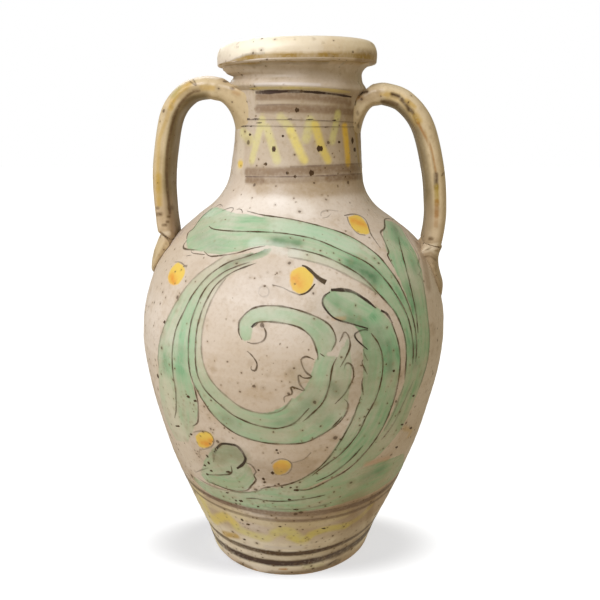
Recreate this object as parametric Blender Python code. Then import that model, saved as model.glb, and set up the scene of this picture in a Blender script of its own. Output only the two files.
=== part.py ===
"""Two-handled tin-glazed jug. The belly is thrown in two sections, a neck and a flared mouth are luted on
top of them, and two pulled strap handles are each seated in a wad of clay at the neck and another on the
shoulder. Every luted joint keeps its thin layer of slip as a gap.

Metres, +Z up. The origin is the centre of the flat foot. One handle is at -X and the other near +X."""

import math

import bmesh
import bpy
from mathutils import Vector

# Foot and lower section
FOOT_RADIUS = 0.069
FOOT_EDGE = 0.0012
FOOT_HEIGHT = 0.022
FOOT_TOP_RADIUS = 0.0748
BELLY_RADIUS = 0.1194
BELLY_HEIGHT = 0.188
BELLY_FULLNESS = 1.6

# Upper section, from the belly seam to the root of the neck
SHOULDER_RISE = 0.112
NECK_ROOT_RADIUS = 0.0524
# How far up and how far in the shoulder has come at each station
SHOULDER_CURVE = (
    (0.0, 0.0),
    (0.16, 0.025),
    (0.34, 0.108),
    (0.51, 0.222),
    (0.65, 0.395),
    (0.78, 0.65),
    (0.88, 0.865),
    (1.0, 1.0),
)

# Neck
NECK_RISE = 0.066
NECK_RADIUS = 0.0471
NECK_WAIST_RISE = 0.043
NECK_TOP_RADIUS = 0.048
# How far up to its waist and how far in the neck has come at its bend
NECK_BEND = (0.4, 0.6)

# Mouth: a cordon over the seam, a throat and a flared lip
MOUTH_RISE = 0.0345
CORDON_RADIUS = 0.0506
CORDON_HEIGHT = 0.0062
THROAT_RADIUS = 0.0469
THROAT_RISE = 0.0096
LIP_RADIUS = 0.0578
LIP_DEPTH = 0.0145
LIP_WIDTH = 0.0115
LIP_UNDERCUT = 0.00115
# The lip's section over the top, as shares of its width inwards and of its depth downwards
LIP_CURVE = ((0.0, 0.72), (0.12, 0.28), (0.5, 0.0), (1.0, 0.12))

# Clay thickness and the slip in the joints
WALL = 0.007
FLOOR = 0.010
FLOOR_FILLET = 0.008
SLIP_GAP = 0.00035
SEAM_GROOVE = 0.0018
# Share of the wall's thickness that a seam's V takes up
SEAM_SHARE = 0.5

# How the jug has settled: the axis leans to +X, the neck dips on that side and the lip tips up there. The dip
# starts this far above the belly seam.
LEAN = 0.017
NECK_TILT = -0.042
DIP_RISE = 0.062
MOUTH_TILT = 0.047

# Handles
STRAP_WIDTH = 0.042
STRAP_SQUARENESS = 3.0
ROOT_LENGTH = 0.0086
ROOT_SPREAD = 0.008
ROOT_DEPTH = 0.0105
ROOT_STATIONS = (0.3, 0.6, 0.85, 1.0)
TAIL_SPREAD = 0.0025
SEAT_DEPTH = 0.0035
SEAT_WIDTH = 0.75
SEAT_THICKNESS = 0.5
PAD_BITE = 0.012

# Left and right were pulled by hand, so each has sizes of its own. root_lift is the strap's upper end above
# the mouth seam, root_drop how far its wad sags to the wall, heel_drop the lower end below the neck root,
# and heel_stand its middle off the wall there. A tail has stations of drop, height off the wall and share
# of the width.
LEFT = {
    "turn": math.radians(180.0),
    "thickness": (0.0162, 0.0146, 0.0130),
    "root_lift": 0.0030,
    "root_drop": 0.011,
    "crown_rise": 0.0022,
    "heel_drop": 0.036,
    "heel_stand": 0.0092,
    "bow": 0.0010,
    "curve": ((0.228, 1.0), (0.535, 0.952), (0.804, 0.811), (0.954, 0.564), (1.0, 0.36), (0.984, 0.148)),
    "tail": ((0.006, 0.0085, 1.0), (0.014, 0.0068, 1.0), (0.022, 0.0042, 0.9), (0.027, 0.0024, 0.66)),
}
RIGHT = {
    "turn": math.radians(-6.4),
    "thickness": (0.0152, 0.0158, 0.0148),
    "root_lift": -0.001,
    "root_drop": 0.0085,
    "crown_rise": 0.0013,
    "heel_drop": 0.041,
    "heel_stand": 0.0098,
    "bow": 0.0014,
    "curve": ((0.16, 1.0), (0.44, 0.945), (0.72, 0.787), (0.92, 0.50), (0.995, 0.25), (1.0, 0.12)),
    "tail": ((0.006, 0.0100, 1.0), (0.015, 0.0052, 1.0), (0.028, 0.0042, 0.88), (0.036, 0.0026, 0.6)),
}

# Facets
SEGMENTS = 60
INNER_SKIP = 2
STRAP_SIDES = 16
STRAP_STEPS = 3
SMOOTH_ANGLE = math.radians(38.0)

GLAZE = (0.62, 0.53, 0.43)
HANDLE_GLAZE = (0.62, 0.54, 0.40)
GLAZE_ROUGHNESS = 0.2

NECK_ROOT_HEIGHT = BELLY_HEIGHT + SHOULDER_RISE
MOUTH_SEAM_HEIGHT = NECK_ROOT_HEIGHT + NECK_RISE
TOP_HEIGHT = MOUTH_SEAM_HEIGHT + MOUTH_RISE


def spline(stations, steps):
    """Points of a smooth curve through the stations, with this many steps from each to the next."""
    first = [2 * a - b for a, b in zip(stations[0], stations[1])]
    last = [2 * a - b for a, b in zip(stations[-1], stations[-2])]
    held = [first, *stations, last]
    points = []
    for before, start, end, after in zip(held, held[1:], held[2:], held[3:]):
        for step in range(steps):
            t = step / steps
            points.append(
                tuple(
                    b + 0.5 * t * (c - a + t * (2 * a - 5 * b + 4 * c - d + t * (3 * (b - c) + d - a)))
                    for a, b, c, d in zip(before, start, end, after)
                )
            )
    points.append(tuple(stations[-1]))
    return points


def offset(points, distance):
    """The same curve moved sideways: to the right of its direction, so outwards on a wall that climbs."""
    moved = []
    for i, (r, z) in enumerate(points):
        r0, z0 = points[max(i - 1, 0)]
        r1, z1 = points[min(i + 1, len(points) - 1)]
        length = math.hypot(r1 - r0, z1 - z0)
        moved.append((r + distance * (z1 - z0) / length, z - distance * (r1 - r0) / length))
    return moved


def ease(t):
    t = min(max(t, 0.0), 1.0)
    return t * t * (3 - 2 * t)


def settle(point):
    """Leans a point with the axis. From the shoulder upwards it also dips with the neck, and above the cordon it
    tips the other way with the lip."""
    dipped = ease((point.z - BELLY_HEIGHT - DIP_RISE) / (SHOULDER_RISE - DIP_RISE))
    throat = MOUTH_SEAM_HEIGHT + CORDON_HEIGHT
    tipped = ease((point.z - throat) / (TOP_HEIGHT - LIP_DEPTH - throat))
    tilt = NECK_TILT * dipped + (MOUTH_TILT - NECK_TILT) * tipped
    return Vector((point.x + LEAN * point.z, point.y, point.z + tilt * point.x))


def lower_wall():
    """Outer wall of the lower section: the short foot, then one full curve out to the belly."""
    steps = 9
    wall = [(FOOT_RADIUS - FOOT_EDGE, 0.0), (FOOT_RADIUS, FOOT_EDGE)]
    for i in range(steps + 1):
        t = i / steps
        out = 1 - (1 - t) ** BELLY_FULLNESS
        wall.append(
            (
                FOOT_TOP_RADIUS + (BELLY_RADIUS - FOOT_TOP_RADIUS) * out,
                FOOT_HEIGHT + (BELLY_HEIGHT - FOOT_HEIGHT) * t,
            )
        )
    return wall


def upper_wall():
    """Outer wall of the upper section, from the belly over the shoulder to the neck's root."""
    stations = [
        (BELLY_RADIUS - (BELLY_RADIUS - NECK_ROOT_RADIUS) * way_in, BELLY_HEIGHT + SHOULDER_RISE * way_up)
        for way_up, way_in in SHOULDER_CURVE
    ]
    return spline(stations, 2)


def neck_wall():
    """Outer wall of the neck: it narrows to its waist and opens a little under the cordon."""
    way_up, way_in = NECK_BEND
    bend = NECK_ROOT_RADIUS + (NECK_RADIUS - NECK_ROOT_RADIUS) * way_in
    stations = [
        (NECK_ROOT_RADIUS, NECK_ROOT_HEIGHT),
        (bend, NECK_ROOT_HEIGHT + NECK_WAIST_RISE * way_up),
        (NECK_RADIUS, NECK_ROOT_HEIGHT + NECK_WAIST_RISE),
        (NECK_TOP_RADIUS, MOUTH_SEAM_HEIGHT),
    ]
    return spline(stations, 3)


def mouth_wall():
    """Outer side of the mouth: the cordon, the throat and the underside of the lip."""
    stations = [
        (NECK_TOP_RADIUS, MOUTH_SEAM_HEIGHT),
        (CORDON_RADIUS, MOUTH_SEAM_HEIGHT + 0.5 * CORDON_HEIGHT),
        (THROAT_RADIUS, MOUTH_SEAM_HEIGHT + THROAT_RISE),
        (LIP_RADIUS - LIP_UNDERCUT, TOP_HEIGHT - LIP_DEPTH),
    ]
    return spline(stations, 3)


def lip():
    """The lip from its lower edge over the top and down to the bore at the seam."""
    bore = NECK_TOP_RADIUS - WALL
    face = [(LIP_RADIUS - LIP_WIDTH * way_in, TOP_HEIGHT - LIP_DEPTH * down) for way_in, down in LIP_CURVE]
    inside = [
        (0.5 * (face[-1][0] + bore), TOP_HEIGHT - LIP_DEPTH),
        (bore, MOUTH_SEAM_HEIGHT + THROAT_RISE),
        (bore, MOUTH_SEAM_HEIGHT),
    ]
    return spline([*face, *inside], 2)


def seam(outer_radius, height):
    """The V cut into a wall's edge at a luted seam, from the outside in."""
    middle = outer_radius - 0.5 * WALL
    half = 0.5 * SEAM_SHARE * WALL
    return [
        (middle + half, height),
        (middle, height - SEAM_GROOVE),
        (middle - half, height),
    ]


def raised(points):
    """A seam's upper half, clear of the lower one by the slip."""
    return [(r, z + SLIP_GAP) for r, z in points]


def glaze(name, colour):
    material = bpy.data.materials.new(name)
    material.use_nodes = True
    shader = material.node_tree.nodes["Principled BSDF"]
    shader.inputs["Base Color"].default_value = (*colour, 1.0)
    shader.inputs["Roughness"].default_value = GLAZE_ROUGHNESS
    shader.inputs["Metallic"].default_value = 0.0
    return material


def solid(name, bm, parent):
    """A named object from a closed bmesh, shaded smooth."""
    bmesh.ops.recalc_face_normals(bm, faces=bm.faces)
    mesh = bpy.data.meshes.new(name)
    bm.to_mesh(mesh)
    bm.free()
    mesh.shade_smooth()
    mesh.set_sharp_from_angle(angle=SMOOTH_ANGLE)
    made = bpy.data.objects.new(name, mesh)
    made.parent = parent
    bpy.context.scene.collection.objects.link(made)
    return made


def piece(name, bm, colour, parent):
    """A sub-part with a glaze of its own."""
    made = solid(name, bm, parent)
    made.data.materials.append(glaze(name + "_glaze", colour))
    return made


def turned(profile):
    """A profile spun round the jug's axis and then settled. Points on the axis close the shape there."""
    bm = bmesh.new()
    verts = [bm.verts.new((r, 0.0, z)) for r, z in profile]
    edges = [bm.edges.new(pair) for pair in zip(verts, verts[1:])]
    if profile[0][0] > 0.0:
        edges.append(bm.edges.new((verts[-1], verts[0])))
    bmesh.ops.spin(
        bm,
        geom=[*verts, *edges],
        axis=(0.0, 0.0, 1.0),
        cent=(0.0, 0.0, 0.0),
        steps=SEGMENTS,
        angle=2 * math.pi,
        use_merge=True,
    )
    bmesh.ops.remove_doubles(bm, verts=bm.verts, dist=1e-6)
    for vert in bm.verts:
        vert.co = settle(vert.co)
    return bm


def lower_body():
    wall = lower_wall()
    fillet = FLOOR + FLOOR_FILLET
    steps = len(wall) // INNER_SKIP
    heights = [BELLY_HEIGHT + (fillet - BELLY_HEIGHT) * i / steps for i in range(steps + 1)]
    inner = [(outer_radius(height) - WALL, height) for height in heights]
    corner = inner[-1][0]
    arc_middle = FLOOR_FILLET * (1 - math.sqrt(0.5))
    floor = [
        (corner - arc_middle, FLOOR + arc_middle),
        (corner - FLOOR_FILLET, FLOOR),
        (0.0, FLOOR),
    ]
    edge = seam(BELLY_RADIUS, BELLY_HEIGHT)
    return turned([(0.0, 0.0), *wall, *edge, *inner, *floor])


def upper_body():
    wall = raised(upper_wall()[:1]) + upper_wall()[1:]
    inner = offset(upper_wall(), -WALL)[::INNER_SKIP]
    inner[0] = (BELLY_RADIUS - WALL, BELLY_HEIGHT + SLIP_GAP)
    inner[-1] = (NECK_ROOT_RADIUS - WALL, NECK_ROOT_HEIGHT)
    edge = seam(NECK_ROOT_RADIUS, NECK_ROOT_HEIGHT)
    tongue = raised(seam(BELLY_RADIUS, BELLY_HEIGHT))
    return turned([*wall, *edge, *reversed(inner), *reversed(tongue)])


def neck():
    wall = raised(neck_wall()[:1]) + neck_wall()[1:]
    edge = seam(NECK_TOP_RADIUS, MOUTH_SEAM_HEIGHT)
    bore = [(r - WALL, z) for r, z in reversed(wall[::3])]
    tongue = raised(seam(NECK_ROOT_RADIUS, NECK_ROOT_HEIGHT))
    return turned([*wall, *edge, *bore, *reversed(tongue)])


def mouth():
    wall = raised(mouth_wall()[:1]) + mouth_wall()[1:]
    top = lip()
    top[-1] = (top[-1][0], MOUTH_SEAM_HEIGHT + SLIP_GAP)
    tongue = raised(seam(NECK_TOP_RADIUS, MOUTH_SEAM_HEIGHT))
    return turned([*wall, *top, *reversed(tongue)])


def outer_radius(height):
    """The jug's outer radius at a height, before it settled."""
    wall = [*lower_wall(), *upper_wall()[1:], *neck_wall()[1:]]
    for (r0, z0), (r1, z1) in zip(wall, wall[1:]):
        if z0 <= height <= z1 and z1 > z0:
            return r0 + (r1 - r0) * (height - z0) / (z1 - z0)
    return wall[-1][0]


def wall_envelope():
    """A solid of the whole outer wall plus the slip, which the wads are hollowed by. From the cordon up it
    stays as wide as the cordon, so no wad runs into the throat."""
    bead = mouth_wall()[1:4]
    wall = offset([*lower_wall()[2:], *upper_wall()[1:], *neck_wall()[1:], *bead], SLIP_GAP)
    ring = max(r for r, z in mouth_wall()[:7]) + SLIP_GAP
    cordon = [(ring, wall[-1][1]), (ring, TOP_HEIGHT)]
    return turned([(0.0, FOOT_HEIGHT), *wall, *cordon, (0.0, TOP_HEIGHT)])


def strap_section(width, thickness):
    """One section of the strap: flat faces with round edges, as (across, through) pairs."""
    ring = []
    for i in range(STRAP_SIDES):
        angle = 2 * math.pi * (i + 0.5) / STRAP_SIDES
        c, s = math.cos(angle), math.sin(angle)
        ring.append(
            (
                0.5 * width * math.copysign(abs(c) ** (2 / STRAP_SQUARENESS), c),
                0.5 * thickness * math.copysign(abs(s) ** (2 / STRAP_SQUARENESS), s),
            )
        )
    return ring


def placed(side, spot, heading, width, thickness, bend=0.0):
    """A strap section set square to its heading in the handle's upright plane, leaning with the jug. With a
    bend, its edges fall back round a wall of that curvature."""
    across = Vector((-math.sin(side["turn"]), math.cos(side["turn"]), 0.0))
    out = Vector((math.cos(side["turn"]), math.sin(side["turn"]), 0.0))
    length = math.hypot(*heading)
    through = (out * -heading[1] + Vector((0.0, 0.0, heading[0]))) / length
    centre = out * spot[0] + Vector((LEAN * spot[1], 0.0, spot[1]))
    return [
        centre + across * a + through * t - out * (0.5 * bend * a * a)
        for a, t in strap_section(width, thickness)
    ]


def loft(rings):
    """A closed skin over rings of equal count, capped at both ends."""
    bm = bmesh.new()
    loops = [[bm.verts.new(point) for point in ring] for ring in rings]
    for lower, upper in zip(loops, loops[1:]):
        for i, vert in enumerate(lower):
            j = (i + 1) % len(lower)
            bm.faces.new((vert, lower[j], upper[j], upper[i]))
    bm.faces.new(reversed(loops[0]))
    bm.faces.new(loops[-1])
    return bm


def centreline(side):
    """The strap's middle line in its plane, from its upper end over the crown to its lower end."""
    root_height = MOUTH_SEAM_HEIGHT + side["root_lift"]
    crown = root_height + side["crown_rise"]
    heel_height = NECK_ROOT_HEIGHT - side["heel_drop"]
    root = NECK_TOP_RADIUS + ROOT_LENGTH
    heel = outer_radius(heel_height) + side["heel_stand"]
    reach = heel + side["bow"]
    bends = [
        (root + (reach - root) * out, heel_height + (crown - heel_height) * up) for out, up in side["curve"]
    ]
    return spline([(root, root_height), *bends, (heel, heel_height)], STRAP_STEPS)


def headings(line):
    """The line's direction at each of its points."""
    ahead = [*line[1:], line[-1]]
    behind = [line[0], *line[:-1]]
    return [(b[0] - a[0], b[1] - a[1]) for a, b in zip(behind, ahead)]


def strap_thickness(side, way):
    """Thick at the root, then easing to the middle of the grip and on to the heel."""
    root, grip, heel = side["thickness"]
    if way < 0.5:
        return root + (grip - root) * ease(2 * way)
    return grip + (heel - grip) * ease(2 * way - 1)


def seat_ring(side, spot, heading, thickness, depth, clearance):
    """The strap's pinched end, this far past its last section along the heading."""
    length = math.hypot(*heading)
    deep = (spot[0] + heading[0] / length * depth, spot[1] + heading[1] / length * depth)
    width = SEAT_WIDTH * STRAP_WIDTH + 2 * clearance
    return placed(side, deep, heading, width, SEAT_THICKNESS * thickness + 2 * clearance)


def handle(side):
    """The pulled strap, with both ends pinched to sit in their wads."""
    line = centreline(side)
    ways = headings(line)
    last = len(line) - 1
    sections = []
    for i, (spot, way) in enumerate(zip(line, ways)):
        sections.append(placed(side, spot, way, STRAP_WIDTH, strap_thickness(side, i / last)))
    root = side["thickness"][0]
    heel = side["thickness"][2]
    back = (-ways[0][0], -ways[0][1])
    top = [
        list(reversed(seat_ring(side, line[0], back, root, depth, 0.0)))
        for depth in (SEAT_DEPTH, 0.0)
    ]
    bottom = [seat_ring(side, line[-1], ways[-1], heel, depth, 0.0) for depth in (0.0, SEAT_DEPTH)]
    return loft([*top, *sections, *bottom])


def wad(side, spot, heading, thickness, outside):
    """A wad of clay: a seat for the strap's end, the flush rim round it, then the given outer sections."""
    start = (spot[0] + heading[0] * SLIP_GAP, spot[1] + heading[1] * SLIP_GAP)
    seat = [
        seat_ring(side, spot, heading, thickness, depth, SLIP_GAP)
        for depth in (SEAT_DEPTH + SLIP_GAP, SLIP_GAP)
    ]
    rim = placed(side, start, heading, STRAP_WIDTH, thickness)
    return loft([*seat, rim, *outside])


def unit(heading):
    length = math.hypot(*heading)
    return (heading[0] / length, heading[1] / length)


def root_wad(side):
    """The wad at the neck: it spreads from the strap to the wall, more below than above."""
    line = centreline(side)
    ways = headings(line)
    heading = unit((-ways[0][0], -ways[0][1]))
    thickness = side["thickness"][0]
    spot = line[0]
    rings = []
    for way in ROOT_STATIONS:
        middle = (spot[0] - ROOT_LENGTH * way, spot[1] - side["root_drop"] * ease(way))
        level = unit((heading[0] * (1 - ease(way)) - ease(way), heading[1] * (1 - ease(way))))
        width = STRAP_WIDTH + 2 * ROOT_SPREAD * way**2
        bend = way / NECK_TOP_RADIUS
        rings.append(placed(side, middle, level, width, thickness + ROOT_DEPTH * way**2, bend))
    inside = (middle[0] - PAD_BITE, middle[1])
    rings.append(placed(side, inside, level, width, thickness + ROOT_DEPTH, bend))
    return wad(side, spot, heading, thickness, rings)


def heel_wad(side):
    """The wad on the shoulder: a tail drawn down the wall and thinned towards its tip."""
    line = centreline(side)
    heading = unit(headings(line)[-1])
    spot = line[-1]
    thickness = side["thickness"][2]
    rings = []
    for drop, proud, share in side["tail"]:
        height = spot[1] - drop
        wall = outer_radius(height)
        outer = wall + proud
        inner = min(wall, spot[0]) - PAD_BITE
        rings.append(
            placed(
                side,
                (0.5 * (outer + inner), height),
                (0.0, -1.0),
                share * (STRAP_WIDTH + 2 * TAIL_SPREAD),
                outer - inner,
                1 / wall,
            )
        )
    return wad(side, spot, heading, thickness, rings)


def hollowed(made, envelope):
    """Cuts a wad's inner face to the wall that it is pressed against."""
    cut = made.modifiers.new("pressed_to_wall", "BOOLEAN")
    cut.operation = "DIFFERENCE"
    cut.solver = "EXACT"
    cut.object = envelope


def build():
    for found in list(bpy.data.objects):
        bpy.data.objects.remove(found, do_unlink=True)
    jug = bpy.data.objects.new("jug", None)
    bpy.context.scene.collection.objects.link(jug)
    piece("lower_body", lower_body(), GLAZE, jug)
    piece("upper_body", upper_body(), GLAZE, jug)
    piece("neck", neck(), GLAZE, jug)
    piece("mouth", mouth(), GLAZE, jug)
    envelope = solid("wall_envelope", wall_envelope(), jug)
    envelope.hide_render = True
    envelope.display_type = "WIRE"
    for name, side in (("left", LEFT), ("right", RIGHT)):
        piece(name + "_handle", handle(side), HANDLE_GLAZE, jug)
        hollowed(piece(name + "_root_wad", root_wad(side), HANDLE_GLAZE, jug), envelope)
        hollowed(piece(name + "_heel_wad", heel_wad(side), HANDLE_GLAZE, jug), envelope)


build()
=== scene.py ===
# %% [markdown]
# # A two-handled jug in painted tin glaze
# The real jug is soft buff clay, thrown in four rings, luted together, given two pulled strap handles,
# dipped in a white tin glaze and painted with metal oxides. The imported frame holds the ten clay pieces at
# their real size. This lesson lays the fired surface over them: finer walls, the painter's washes and
# lines, and the glaze itself. Everything is worked out from named sizes, so a change of one value carries
# through the whole jug.

# %% Load the frame
import math

import bmesh
import bpy
import numpy as np
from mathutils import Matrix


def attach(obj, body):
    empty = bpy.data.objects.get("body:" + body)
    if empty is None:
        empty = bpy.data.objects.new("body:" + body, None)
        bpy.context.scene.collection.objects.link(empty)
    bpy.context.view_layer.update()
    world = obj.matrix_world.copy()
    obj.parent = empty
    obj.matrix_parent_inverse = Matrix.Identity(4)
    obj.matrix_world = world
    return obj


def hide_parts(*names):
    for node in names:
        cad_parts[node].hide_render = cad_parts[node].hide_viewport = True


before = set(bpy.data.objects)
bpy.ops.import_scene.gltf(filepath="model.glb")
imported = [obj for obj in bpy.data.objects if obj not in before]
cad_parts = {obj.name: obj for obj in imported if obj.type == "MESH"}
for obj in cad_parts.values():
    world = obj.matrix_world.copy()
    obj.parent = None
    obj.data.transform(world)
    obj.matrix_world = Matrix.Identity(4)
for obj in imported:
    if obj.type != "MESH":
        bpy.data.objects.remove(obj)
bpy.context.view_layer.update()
print("clay pieces:", sorted(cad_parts))

# %% [markdown]
# ## The camera
# The jug was photographed from a little above its shoulder. The camera was found by matching the jug's
# outline: its place, how far it dips, and its focal length in pixels of a square picture of 600 by 600.
# It is made first, because the painted lines are placed by looking through it at the wall.

# %% Camera
PHOTO_SIDE = 600
FOCAL = 641.5
SENSOR = 36.0
CAMERA_PLACE = np.array((0.0081, -0.4969, 0.3510))
CAMERA_DIP = math.radians(16.07)

lens = bpy.data.cameras.new("camera")
lens.sensor_width = SENSOR
lens.lens = SENSOR * FOCAL / PHOTO_SIDE
lens.clip_start = 0.01
camera = bpy.data.objects.new("camera", lens)
camera.location = CAMERA_PLACE
camera.rotation_euler = (0.5 * math.pi - CAMERA_DIP, 0.0, 0.0)
bpy.context.scene.collection.objects.link(camera)
bpy.context.scene.camera = camera
print("lens, mm:", round(lens.lens, 2))

# %% [markdown]
# ## Colours and node helpers
# A painter names colours as they look; a renderer wants the light they send back. `pigment` turns the
# first into the second. The other helpers each add one node to a material and return its output, so that
# a finish further down reads as a short recipe and not as a list of links.

# %% Colour and node helpers
def pigment(red, green, blue):
    """A colour as it looks on a screen, 0 to 255, as the linear light that a shader works in."""
    shown = np.array((red, green, blue)) / 255.0
    return tuple(np.where(shown < 0.04045, shown / 12.92, ((shown + 0.055) / 1.055) ** 2.4))


def feed(tree, socket, value):
    """Links another node's output into a socket, or sets it to a plain number or colour."""
    if isinstance(value, bpy.types.NodeSocket):
        tree.links.new(value, socket)
    elif isinstance(value, tuple):
        socket.default_value = (*value, 1.0)
    else:
        socket.default_value = value


def figure(tree, operation, first, second=0.0, third=0.0):
    """One step of arithmetic on values of a material."""
    node = tree.nodes.new("ShaderNodeMath")
    node.operation = operation
    for socket, value in zip(node.inputs, (first, second, third)):
        feed(tree, socket, value)
    return node.outputs[0]


def tint(tree, share, under, over):
    """One colour laid over another by a share."""
    node = tree.nodes.new("ShaderNodeMix")
    node.data_type = "RGBA"
    feed(tree, node.inputs[0], share)
    feed(tree, node.inputs[6], under)
    feed(tree, node.inputs[7], over)
    return node.outputs[2]


def ramp(tree, value, low, high, start=0.0, end=1.0):
    """A smooth step from start to end while the value goes from low to high."""
    node = tree.nodes.new("ShaderNodeMapRange")
    node.interpolation_type = "SMOOTHSTEP"
    for socket, item in zip(node.inputs, (value, low, high, start, end)):
        feed(tree, socket, item)
    return node.outputs[0]


def cloud(tree, place, scale, detail=3.0, rough=0.5):
    """Soft noise with about this many patches to a metre."""
    node = tree.nodes.new("ShaderNodeTexNoise")
    feed(tree, node.inputs["Vector"], place)
    node.inputs["Scale"].default_value = scale
    node.inputs["Detail"].default_value = detail
    node.inputs["Roughness"].default_value = rough
    return node.outputs[0]


def told(tree, name, output="Fac"):
    """A value that the mesh carries at each of its points."""
    node = tree.nodes.new("ShaderNodeAttribute")
    node.attribute_name = name
    return node.outputs[output]


def product(tree, *parts):
    """Values multiplied together."""
    result = parts[0]
    for part in parts[1:]:
        result = figure(tree, "MULTIPLY", result, part)
    return result


def added(tree, value, share, base):
    """A share of a value, added to another value."""
    return figure(tree, "MULTIPLY_ADD", value, share, base)


def clamped(tree, value):
    """A value held between 0 and 1."""
    return figure(tree, "MINIMUM", figure(tree, "MAXIMUM", value, 0.0), 1.0)


def patches(tree, place, scale, detail, low, high, start=0.0, end=1.0):
    """Clouds made firmer: start between the patches, end inside them."""
    return ramp(tree, cloud(tree, place, scale, detail), low, high, start, end)


print("cream as linear light:", [round(part, 3) for part in pigment(226, 212, 197)])

# %% [markdown]
# ## The wall's shape
# A thrown jug is a profile spun round an axis. The profile repeats the sizes of the clay pieces, in
# metres: a short foot, one full curve to the belly, a shoulder, the neck, and the mouth with its cordon
# and heavy lip. Then the soft jug settled: it leans a little, its neck dips to the right, and its lip is
# tipped the other way.

# %% Sizes of the wall
FOOT_RADIUS, FOOT_EDGE = 0.069, 0.0012
FOOT_TOP_RADIUS, FOOT_HEIGHT = 0.0748, 0.022
BELLY_RADIUS, BELLY_HEIGHT, BELLY_FULLNESS = 0.1194, 0.188, 1.6
NECK_ROOT_RADIUS, NECK_ROOT_HEIGHT = 0.0524, 0.300
SHOULDER_CURVE = ((0, 0), (0.16, 0.025), (0.34, 0.108), (0.51, 0.222), (0.65, 0.395), (0.78, 0.65),
                  (0.88, 0.865), (1, 1))
NECK_RADIUS, NECK_WAIST = 0.0471, 0.343
NECK_TOP_RADIUS, MOUTH_SEAM = 0.048, 0.366
MOUTH_STATIONS = ((0.0480, 0.3660), (0.0506, 0.3694), (0.0494, 0.3726), (0.0474, 0.3752), (0.0469, 0.3783),
                  (0.0473, 0.3806), (0.0491, 0.3828), (0.0526, 0.3848), (0.0560, 0.3853), (0.0575, 0.3860),
                  (0.0578, 0.3874), (0.0578, 0.3905), (0.0572, 0.3945), (0.0554, 0.3980), (0.0526, 0.4000),
                  (0.0493, 0.4005), (0.0463, 0.3990), (0.0440, 0.3860), (0.0410, 0.3756), (0.0410, 0.3660))
WALL, FLOOR = 0.007, 0.010
LEAN, NECK_SHIFT, SHIFT_FROM = 0.017, 0.0008, 0.280
NECK_TILT, DIP_FROM, MOUTH_TILT, TIP_FROM, TIP_TO = -0.042, 0.250, 0.018, 0.3722, 0.3865
MOUTH_SHIFT = -0.0012
SETTLE_ROUNDS = 12


def ease(t):
    """A smooth step from 0 to 1."""
    t = np.clip(t, 0.0, 1.0)
    return t * t * (3 - 2 * t)


def smooth(stations, steps):
    """A smooth curve through listed stations, with this many steps from each to the next."""
    held = np.array(stations, float)
    held = np.vstack((2 * held[0] - held[1], held, 2 * held[-1] - held[-2]))
    t = np.linspace(0, 1, steps, endpoint=False)[:, None]
    runs = []
    for a, b, c, d in zip(held, held[1:], held[2:], held[3:]):
        runs.append(b + 0.5 * t * (c - a + t * (2 * a - 5 * b + 4 * c - d + t * (3 * (b - c) + d - a))))
    return np.vstack((*runs, held[-2:-1]))


def tilt(z):
    """How steeply a level ring of the settled jug slopes: down to the right on the neck, up on the lip."""
    dipped = ease((z - DIP_FROM) / (NECK_ROOT_HEIGHT - DIP_FROM))
    tipped = ease((z - TIP_FROM) / (TIP_TO - TIP_FROM))
    return NECK_TILT * dipped + (MOUTH_TILT - NECK_TILT) * tipped


def axis(z):
    """Where the settled jug's axis lies at a height, to the right of the foot's middle."""
    pushed = NECK_SHIFT * ease((z - SHIFT_FROM) / (NECK_WAIST - SHIFT_FROM))
    return LEAN * z + pushed + MOUTH_SHIFT * ease((z - TIP_FROM) / (TIP_TO - TIP_FROM))


def settled(x, y, z):
    """Leans a point with the jug's axis and slopes it with the ring that it lies on."""
    return np.stack((x + axis(z), y, z + tilt(z) * x), axis=-1)


def unsettled(points):
    """The same points before the jug settled: angle round the axis, distance from it, and height."""
    x, y, z = np.moveaxis(np.asarray(points, float), -1, 0)
    height = z
    for _ in range(SETTLE_ROUNDS):
        height = z - tilt(height) * (x - axis(height))
    across = x - axis(height)
    return np.arctan2(y, across), np.hypot(across, y), height


print("the mouth's seam lies", round(1000 * axis(MOUTH_SEAM), 1), "mm right of the foot's middle")

# %% Profile of the outer wall
RING_STEP, FOOT_RINGS = 0.0016, 13
WALL_STEPS, MOUTH_STEPS = 16, 10

way = np.linspace(0, 1, int((BELLY_HEIGHT - FOOT_HEIGHT) / RING_STEP))
foot = smooth([(FOOT_RADIUS - 2 * FOOT_EDGE, 0), (FOOT_RADIUS - 0.3 * FOOT_EDGE, 0.5 * FOOT_EDGE),
               (FOOT_RADIUS + 0.2 * FOOT_EDGE, 2 * FOOT_EDGE)], 4)
foot_wall = np.linspace(foot[-1], (FOOT_TOP_RADIUS, FOOT_HEIGHT), FOOT_RINGS)[1:]
swell = FOOT_TOP_RADIUS + (BELLY_RADIUS - FOOT_TOP_RADIUS) * (1 - (1 - way) ** BELLY_FULLNESS)
belly = np.stack((swell, FOOT_HEIGHT + (BELLY_HEIGHT - FOOT_HEIGHT) * way), axis=-1)[1:]
lower_wall = np.vstack((foot, foot_wall, belly))
shoulder = [(BELLY_RADIUS + (NECK_ROOT_RADIUS - BELLY_RADIUS) * way_in,
             BELLY_HEIGHT + (NECK_ROOT_HEIGHT - BELLY_HEIGHT) * way_up)
            for way_up, way_in in SHOULDER_CURVE]
waist = [(NECK_ROOT_RADIUS + 0.6 * (NECK_RADIUS - NECK_ROOT_RADIUS),
          NECK_ROOT_HEIGHT + 0.4 * (NECK_WAIST - NECK_ROOT_HEIGHT)),
         (NECK_RADIUS, NECK_WAIST), (NECK_TOP_RADIUS, MOUTH_SEAM)]
rising = smooth([*shoulder, *waist], WALL_STEPS)
neck_root = WALL_STEPS * (len(shoulder) - 1)
upper_wall, neck_wall = rising[:neck_root + 1], rising[neck_root:]
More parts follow.
